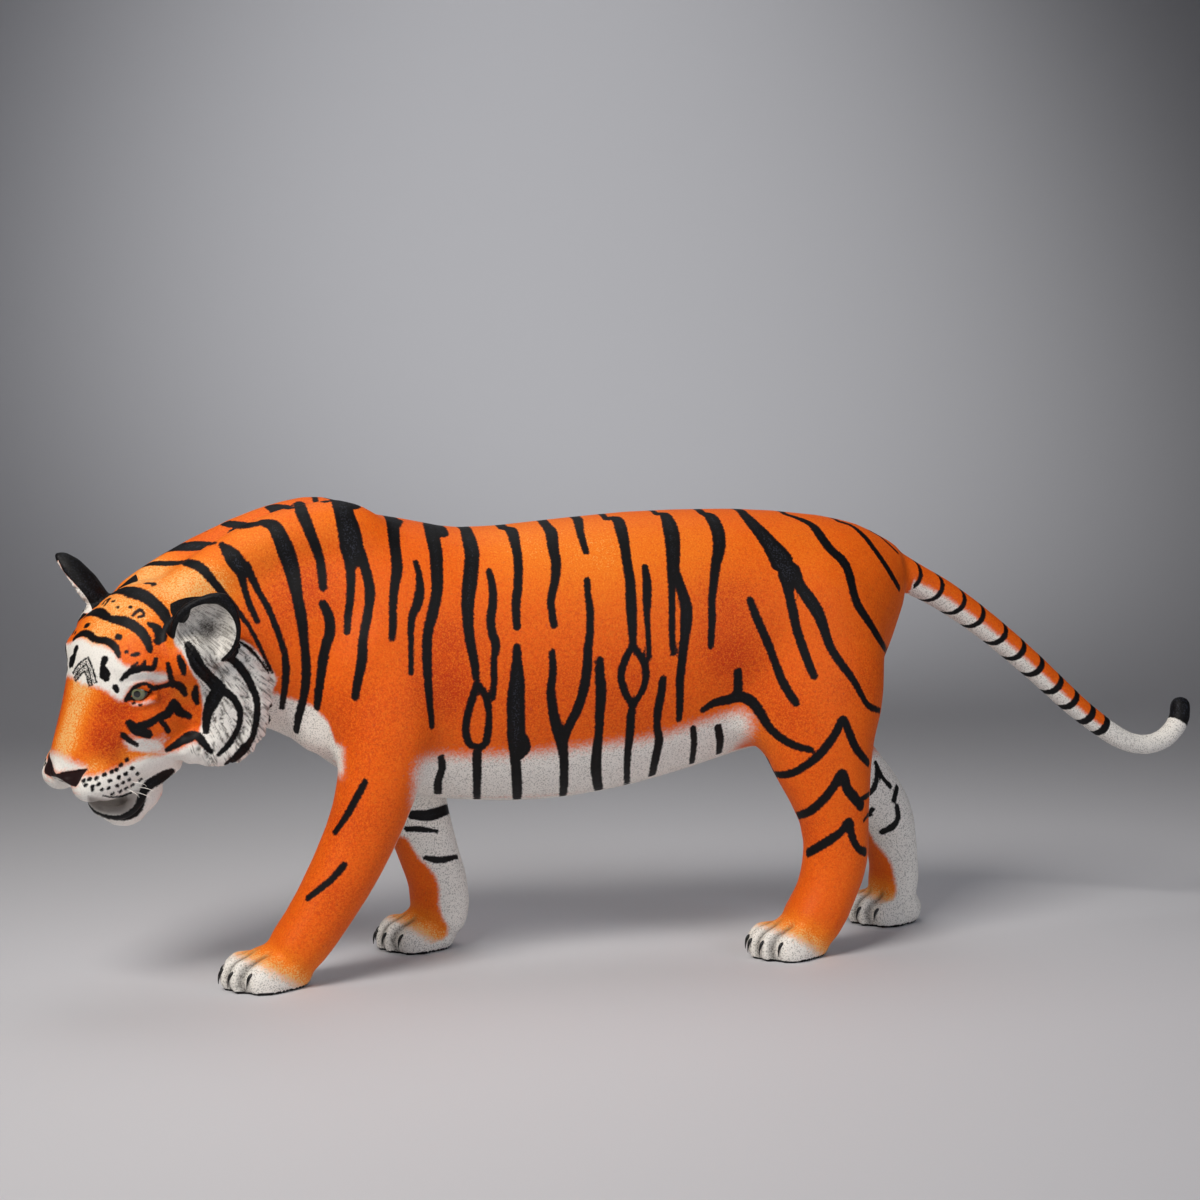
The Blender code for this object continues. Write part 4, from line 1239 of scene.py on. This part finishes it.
def painted_resin(sizes, colours):
    """Cast resin under sprayed and brushed acrylic: matte, with a fine sprayed grain, soft
    fades between orange and white, and black strokes whose thin edges show maroon."""
    material, tree, shader = new_material("hand painted cast resin")
    spot = node(tree, "ShaderNodeTexCoord").outputs["Object"]
    grain = noise(tree, spot, 1 / sizes.grain, detail=2.0, roughness=0.6)
    fine = noise(tree, spot, FINE_GRAIN / sizes.grain, detail=1.0)
    cloud = noise(tree, spot, 1 / CLOUD, detail=3.0)
    field = {name: attribute(tree, name) for name in ATTRIBUTES}

    # Deep orange is sprayed paint and painted shade in the hollows; pale and cream are sprayed paint and a
    # painted highlight where the light falls most.
    deep = maths(tree, "ADD", field["deep"], swing(tree, grain, 0.48, 1.8))
    deep = maths(tree, "ADD", deep, swing(tree, cloud, 0.5, 0.5), clamp=True)
    coat = mixed(tree, deep, colours.orange, colours.deep)
    pale = maths(tree, "ADD", field["pale"], swing(tree, fine, 0.44, 1.5))
    coat = mixed(tree, maths(tree, "MULTIPLY", pale, 1.15, clamp=True), coat, colours.pale)
    coat = mixed(tree, stepped(tree, pale, 0.75, 1.3), coat, colours.cream)

    # The white: specked with grey, and grey in the carved grooves as painted shade.
    streaks = node(tree, "ShaderNodeCombineXYZ", {
        0: maths(tree, "DIVIDE", field["strand"], HAIR_WIDTH),
        1: maths(tree, "DIVIDE", field["lock"], HAIR_LENGTH)}).outputs[0]
    streak = noise(tree, streaks, 1.0, detail=2.0)
    specks = maths(tree, "MULTIPLY", stepped(tree, fine, 0.5, 0.66), field["stipple"])
    groove = maths(tree, "MULTIPLY", field["fur"], maths(tree, "MULTIPLY", field["furrow"], 1.1))
    hair = maths(tree, "MULTIPLY", field["fur"], stepped(tree, streak, 0.52, 0.66))
    grey = maths(tree, "MAXIMUM", maths(tree, "MULTIPLY", specks, 0.5),
                 maths(tree, "MAXIMUM", groove, maths(tree, "MULTIPLY", hair, 0.75)), clamp=True)
    white = mixed(tree, grey, colours.white, colours.wash)
    share = maths(tree, "ADD", field["white"], swing(tree, grain, 0.5, 0.7))
    coat = mixed(tree, stepped(tree, share, 0.1, 0.95), coat, white)

    # The inside of the mouth: grey as painted shade.
    lips = mixed(tree, maths(tree, "MULTIPLY", field["mouth"], 0.9), coat, colours.mouth)
    lips = mixed(tree, field["pink"], lips, colours.pink)
    lips = mixed(tree, stepped(tree, field["leather"], 0.3, 0.7), lips, colours.nose)
    # Painted shade: darker in the mouth, between the toes and in the ears' cups.
    painted_shade = maths(tree, "ADD", field["shade"], swing(tree, fine, 0.5, field["shade"]))
    lips = mixed(tree, maths(tree, "MULTIPLY", painted_shade, 0.85, clamp=True), lips, colours.shade)

    # A stroke: signed distance across it keeps a thin one whole, and plain distance keeps it from
    # showing where the nearest stroke changes.
    away = maths(tree, "MAXIMUM", maths(tree, "ABSOLUTE", field["offset"]), field["reach"])
    ink = maths(tree, "SUBTRACT", field["half"], away)
    ink = maths(tree, "ADD", ink, swing(tree, grain, 0.5, RAGGED_EDGE))
    ink = maths(tree, "MAXIMUM", ink, swing(tree, field["inked"], 0.5, INKED_SPAN))
    stroke = stepped(tree, ink, -sizes.edge, sizes.edge)
    body = stepped(tree, ink, 0.0, MAROON_EDGE)
    edge_colour = mixed(tree, field["white"], colours.maroon, colours.black)
    black = mixed(tree, body, edge_colour, colours.black)
    # Painted sheen: blue grey specks over the broad black, away from a stroke's edge.
    painted_sheen = maths(tree, "MULTIPLY", stepped(tree, ink, *SHEEN_FROM_EDGE), stepped(tree, fine, 0.52, 0.66))
    black = mixed(tree, maths(tree, "MULTIPLY", painted_sheen, 0.35), black, colours.painted_sheen)
    paint = mixed(tree, stroke, lips, black)
    tree.links.new(paint, shader.inputs["Base Color"])

    shader.inputs["IOR"].default_value = 1.4
    shader.inputs["Specular IOR Level"].default_value = 0.3
    rough = node(tree, "ShaderNodeMapRange", {"Value": grain, "To Min": 0.48, "To Max": 0.66}).outputs[0]
    tree.links.new(rough, shader.inputs["Roughness"])
    height = maths(tree, "ADD", maths(tree, "MULTIPLY", fine, 0.5),
                   maths(tree, "MULTIPLY", maths(tree, "MULTIPLY", field["fur"], streak), -3.0))
    bump = node(tree, "ShaderNodeBump", {"Height": height, "Strength": 0.5, "Distance": PAINT_RELIEF})
    tree.links.new(bump.outputs["Normal"], shader.inputs["Normal"])
    return material


def painted_eye(colours):
    """Painted eye under gloss varnish: dark lid line, grey green iris darkened at its edge as painted shade
    of the lids, and black pupil.
    """
    material, tree, shader = new_material("varnished painted eye")
    gaze = attribute(tree, "gaze")
    lit = stepped(tree, gaze, *EYE_LID_LINE)
    pupil = stepped(tree, gaze, *EYE_PUPIL)
    # Painted shade of the lids over the iris's edge.
    lid_shaded_iris = tuple(0.45 * c for c in colours.iris)
    tone = mixed(tree, stepped(tree, gaze, *EYE_LID_SHADE), lid_shaded_iris, colours.iris)
    shade = mixed(tree, lit, colours.black, tone)
    tree.links.new(mixed(tree, pupil, shade, colours.black), shader.inputs["Base Color"])
    shader.inputs["Roughness"].default_value = 0.12
    shader.inputs["Coat Weight"].default_value = 0.6
    return material


def plain_material(name, paint, roughness):
    """One even finish with a faint grain in its roughness."""
    material, tree, shader = new_material(name)
    spot = node(tree, "ShaderNodeTexCoord").outputs["Object"]
    grain = noise(tree, spot, 1 / PLAIN_GRAIN)
    span = {"Value": grain, "To Min": roughness - 0.05, "To Max": roughness + 0.08}
    shader.inputs["Base Color"].default_value = (*paint, 1)
    tree.links.new(node(tree, "ShaderNodeMapRange", span).outputs[0], shader.inputs["Roughness"])
    return material


def parted(bm, on_head):
    """The head's skin or the rest as a closed mesh, and its points' numbers in the whole."""
    part = bm.copy()
    number = part.verts.layers.int.new("number")
    for index, vertex in enumerate(part.verts):
        vertex[number] = index
    mark = part.faces.layers.int["on head"]
    bmesh.ops.delete(part, geom=[f for f in part.faces if f[mark] != on_head], context="FACES")
    rim = [e for e in part.edges if e.is_boundary]
    bmesh.ops.holes_fill(part, edges=rim)
    for edge in rim:
        edge.smooth = False
    if any(not e.is_manifold for e in part.edges):
        raise RuntimeError("a part of the skin isn't closed")
    bmesh.ops.recalc_face_normals(part, faces=part.faces)
    numbers = np.array([v[number] for v in part.verts])
    part.verts.layers.int.remove(number)
    part.faces.layers.int.remove(mark)
    mesh = bpy.data.meshes.new("painted head" if on_head else "painted body")
    part.to_mesh(mesh)
    part.free()
    return mesh, numbers


def curved_spikes(name):
    """A Geometry Nodes tree that sets a tapered, bent spike at every point. Each spike starts along
    the point's attribute "way" and its tip drops by the input Drop."""
    tree = bpy.data.node_groups.new(name, "GeometryNodeTree")
    tree.interface.new_socket("Geometry", in_out="INPUT", socket_type="NodeSocketGeometry")
    for title, default in (("Ahead", 1.0), ("Drop", 1.0), ("Width", 0.2)):
        socket = tree.interface.new_socket(title, in_out="INPUT", socket_type="NodeSocketFloat")
        socket.subtype = "DISTANCE"
        socket.default_value = default * MM
    tree.interface.new_socket("Material", in_out="INPUT", socket_type="NodeSocketMaterial")
    tree.interface.new_socket("Geometry", in_out="OUTPUT", socket_type="NodeSocketGeometry")
    given = node(tree, "NodeGroupInput").outputs
    down = node(tree, "ShaderNodeMath", {0: given["Drop"], 1: -1.0}, operation="MULTIPLY").outputs[0]
    bend = node(tree, "ShaderNodeCombineXYZ", {0: given["Ahead"]}).outputs[0]
    tip = node(tree, "ShaderNodeCombineXYZ", {0: given["Ahead"], 2: down}).outputs[0]
    line = node(tree, "GeometryNodeCurveQuadraticBezier",
                {"Resolution": 10, "Start": (0, 0, 0), "Middle": bend, "End": tip}).outputs[0]
    along = node(tree, "GeometryNodeSplineParameter").outputs["Factor"]
    taper = node(tree, "ShaderNodeMapRange", {"Value": along, "To Min": 0.5, "To Max": 0.06}).outputs[0]
    thick = node(tree, "ShaderNodeMath", {0: taper, 1: given["Width"]}, operation="MULTIPLY").outputs[0]
    ring = node(tree, "GeometryNodeCurvePrimitiveCircle", {"Resolution": 8, "Radius": 1.0}).outputs["Curve"]
    spike = node(tree, "GeometryNodeCurveToMesh",
                 {"Curve": line, "Profile Curve": ring, "Scale": thick, "Fill Caps": True}).outputs[0]
    way = node(tree, "GeometryNodeInputNamedAttribute", {"Name": "way"}, data_type="FLOAT_VECTOR").outputs[0]
    spin = node(tree, "FunctionNodeAlignRotationToVector", {"Vector": way}, axis="X").outputs[0]
    placed = node(tree, "GeometryNodeInstanceOnPoints",
                  {"Points": given["Geometry"], "Instance": spike, "Rotation": spin}).outputs[0]
    real = node(tree, "GeometryNodeRealizeInstances", {"Geometry": placed}).outputs[0]
    done = node(tree, "GeometryNodeSetMaterial", {"Geometry": real, "Material": given["Material"]}).outputs[0]
    node(tree, "NodeGroupOutput", {"Geometry": done})
    return tree


def spikes(name, roots, inputs, material):
    """The plain mesh of one spike at each root (place, way)."""
    points = bpy.data.meshes.new("roots")
    points.from_pydata([place for place, way in roots], [], [])
    ways = np.array([way for place, way in roots], dtype=np.float32)
    points.attributes.new("way", "FLOAT_VECTOR", "POINT").data.foreach_set("vector", ways.ravel())
    holder = bpy.data.objects.new("roots", points)
    bpy.context.scene.collection.objects.link(holder)
    tree = curved_spikes(name)
    modifier = holder.modifiers.new("spikes", "NODES")
    modifier.node_group = tree
    for socket in tree.interface.items_tree:
        if socket.in_out == "INPUT" and socket.name in inputs:
            modifier[socket.identifier] = inputs[socket.name]
        if socket.in_out == "INPUT" and socket.name == "Material":
            modifier[socket.identifier] = material
    graph = bpy.context.evaluated_depsgraph_get()
    mesh = bpy.data.meshes.new_from_object(holder.evaluated_get(graph), depsgraph=graph)
    mesh.name = name
    bpy.data.objects.remove(holder)
    if len(mesh.polygons) == 0:
        raise RuntimeError("the spikes came out empty")
    return mesh


def built_surface():
    """The surface of the painted head and body as built."""
    bm = bmesh.new()
    for name in ("painted_body", "painted_head"):
        bm.from_mesh(bpy.data.objects[name].data)
    return Surface(bm)


def finished(name, mesh, materials, stands_for=()):
    """Links a mesh as a piece of the tiger."""
    piece = bpy.data.objects.new(name, mesh)
    bpy.context.scene.collection.objects.link(piece)
    mesh.materials.clear()
    for material in materials:
        mesh.materials.append(material)
    for face in mesh.polygons:
        face.use_smooth = True
    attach(piece, "root")
    for other in stands_for:
        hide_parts(other)
    return piece


def hang(light, place, aim):
    """Hangs a lamp at a place and aims it."""
    lamp = bpy.data.objects.new(light.name, light)
    bpy.context.scene.collection.objects.link(lamp)
    lamp.location = place
    lamp.rotation_euler = (Vector(aim) - lamp.location).to_track_quat("-Z", "Y").to_euler()


class TIGER_OT_cast(bpy.types.Operator):
    """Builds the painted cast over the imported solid"""
    bl_idname = "tiger.cast"
    bl_label = "Painted cast"

    def execute(self, context):
        sizes = context.scene.tiger_sizes
        bm = whole_skin(sizes.body_grid, sizes.head_grid)
        fields = paint_fields(Surface(bm), sizes)
        resin = painted_resin(sizes, context.scene.tiger_colours)
        for title, on_head in (("painted_body", 0), ("painted_head", 1)):
            mesh, numbers = parted(bm, on_head)
            for name, values in fields.items():
                layer = mesh.attributes.new(name, "FLOAT", "POINT")
                layer.data.foreach_set("value", values[numbers].astype(np.float32))
            finished(title, mesh, [resin], ["tiger"])
        bm.free()
        return {"FINISHED"}


class TIGER_OT_eyes(bpy.types.Operator):
    """Sets the varnished eyes in the lids"""
    bl_idname = "tiger.eyes"
    bl_label = "Eyes"

    def execute(self, context):
        material = painted_eye(context.scene.tiger_colours)
        for name, side in (("left_eye", 1), ("right_eye", -1)):
            place = head_matrix() @ Matrix.Diagonal((1, side, 1, 1))
            bm = bmesh.new()
            add_ball(bm, place @ Matrix.Translation(EYE_MIDDLE), (EYE_RADIUS,) * 3, rings=33, around=48)
            bmesh.ops.recalc_face_normals(bm, faces=bm.faces)
            mesh = bpy.data.meshes.new(name)
            bm.to_mesh(mesh)
            bm.free()
            middle = place @ Vector(EYE_MIDDLE)
            look = (place.to_3x3() @ Vector(EYE_LOOK)).normalized()
            values = [(v.co - middle).normalized().dot(look) for v in mesh.vertices]
            mesh.attributes.new("gaze", "FLOAT", "POINT").data.foreach_set("value", values)
            finished(name, mesh, [material])
        return {"FINISHED"}


class TIGER_OT_claws(bpy.types.Operator):
    """Sets a claw on the front of every toe"""
    bl_idname = "tiger.claws"
    bl_label = "Claws"

    def execute(self, context):
        sizes = context.scene.tiger_sizes
        surface = built_surface()
        roots = []
        for middle, size, width, turn in PAWS:
            ahead = Vector((-cos(radians(turn)), -sin(radians(turn)), 0))
            aside = Vector((-sin(radians(turn)), cos(radians(turn)), 0))
            for place, tip in TOES:
                own = Vector((*middle, CLAW_HEIGHT)) + aside * place * width * TOE_PITCH
                start = at(*(own + ahead * (tip + CLAW_SEARCH) * size))
                hit = surface.tree.ray_cast(start, -ahead)[0]
                if hit is None:
                    raise RuntimeError("a claw found no toe")
                roots.append((hit - ahead * CLAW_SUNK * MM, ahead))
        material = plain_material("black claw paint", context.scene.tiger_colours.black, 0.35)
        inputs = {"Ahead": sizes.claw_ahead, "Drop": sizes.claw_length, "Width": sizes.claw_width}
        finished("claws", spikes("curved claws", roots, inputs, material), [material])
        return {"FINISHED"}


class TIGER_OT_whiskers(bpy.types.Operator):
    """Sets the short white whiskers beside the mouth"""
    bl_idname = "tiger.whiskers"
    bl_label = "Whiskers"

    def execute(self, context):
        sizes = context.scene.tiger_sizes
        surface = built_surface()
        roots = []
        for px, py, way in WHISKERS:
            point = surface.seen(px, py)
            for side in (1, -1):
                place = point if side == 1 else surface.other_side(point, True)
                out = (surface.head.to_3x3() @ Vector((way[0], side * way[1], way[2]))).normalized()
                roots.append((place - out * WHISKER_SUNK * MM, out))
        material = plain_material("white whisker bristle", context.scene.tiger_colours.white, 0.5)
        inputs = {"Ahead": sizes.whisker_length, "Drop": sizes.whisker_drop, "Width": sizes.whisker_width}
        finished("whiskers", spikes("curved whiskers", roots, inputs, material), [material])
        return {"FINISHED"}


class TIGER_OT_stage(bpy.types.Operator):
    """Lays the floor, hangs the lights and sets the photograph's camera"""
    bl_idname = "tiger.stage"
    bl_label = "Stage"

    def execute(self, context):
        scene = context.scene
        sweep = bmesh.new()
        rows = [(SWEEP_FRONT, 0), (SWEEP_BEND, 0)]
        for turn in np.linspace(0, pi / 2, 17)[1:]:
            rows.append((SWEEP_BEND + SWEEP_RADIUS * sin(turn), SWEEP_RADIUS - SWEEP_RADIUS * cos(turn)))
        rows.append((SWEEP_BEND + SWEEP_RADIUS, SWEEP_TOP))
        lines = [[sweep.verts.new((x, y, z)) for y, z in rows] for x in (-SWEEP_HALF, SWEEP_HALF)]
        for i in range(len(rows) - 1):
            sweep.faces.new((lines[0][i], lines[1][i], lines[1][i + 1], lines[0][i + 1]))
        mesh = bpy.data.meshes.new("floor")
        sweep.to_mesh(mesh)
        sweep.free()
        floor = bpy.data.objects.new("floor", mesh)
        scene.collection.objects.link(floor)
        for face in mesh.polygons:
            face.use_smooth = True
        mesh.materials.append(plain_material("pale paper sweep", linear(SWEEP_PAPER), 0.7))

        world = bpy.data.worlds.new("soft room")
        world.use_nodes = True
        background = world.node_tree.nodes["Background"].inputs
        background["Color"].default_value = (*linear(ROOM), 1)
        background["Strength"].default_value = ROOM_LIGHT
        scene.world = world
        scene.view_settings.view_transform = "Standard"
        for name, (place, aim, size, power, tint) in LAMPS.items():
            light = bpy.data.lights.new(name, "AREA")
            light.size = size
            light.energy = power
            light.color = linear(tint)
            light.spread = radians(LIGHT_SPREAD)
            hang(light, place, aim)
        pool = bpy.data.lights.new("backdrop", "SPOT")
        pool.energy = POOL_POWER
        pool.spot_size = radians(POOL_CONE)
        pool.spot_blend = 1.0
        pool.shadow_soft_size = POOL_SIZE
        hang(pool, POOL_PLACE, POOL_AIM)

        camera = bpy.data.cameras.new("photograph")
        camera.sensor_width = FILM
        camera.lens = LENS
        camera.clip_start = 0.01
        view = bpy.data.objects.new("photograph", camera)
        scene.collection.objects.link(view)
        view.matrix_world = view_matrix()
        scene.camera = view
        return {"FINISHED"}


class TIGER_PT_panel(bpy.types.Panel):
    """Lists the tiger's operators and settings"""
    bl_idname = "TIGER_PT_panel"
    bl_label = "Tiger"
    bl_space_type = "VIEW_3D"
    bl_region_type = "UI"
    bl_category = "Tiger"

    def draw(self, context):
        for operator in OPERATORS:
            self.layout.operator(operator.bl_idname)
        for group in (context.scene.tiger_sizes, context.scene.tiger_colours):
            for name in group.__annotations__:
                self.layout.prop(group, name)


OPERATORS = (TIGER_OT_cast, TIGER_OT_eyes, TIGER_OT_claws, TIGER_OT_whiskers, TIGER_OT_stage)
CLASSES = (TigerSizes, TigerColours) + OPERATORS + (TIGER_PT_panel,)


def register():
    for item in CLASSES:
        bpy.utils.register_class(item)
    bpy.types.Scene.tiger_sizes = PointerProperty(type=TigerSizes)
    bpy.types.Scene.tiger_colours = PointerProperty(type=TigerColours)


def unregister():
    del bpy.types.Scene.tiger_colours
    del bpy.types.Scene.tiger_sizes
    for item in reversed(CLASSES):
        bpy.utils.unregister_class(item)


def main():
    register()
    bpy.ops.tiger.cast()
    bpy.ops.tiger.eyes()
    bpy.ops.tiger.claws()
    bpy.ops.tiger.whiskers()
    bpy.ops.tiger.stage()


if __name__ == "__main__":
    main()
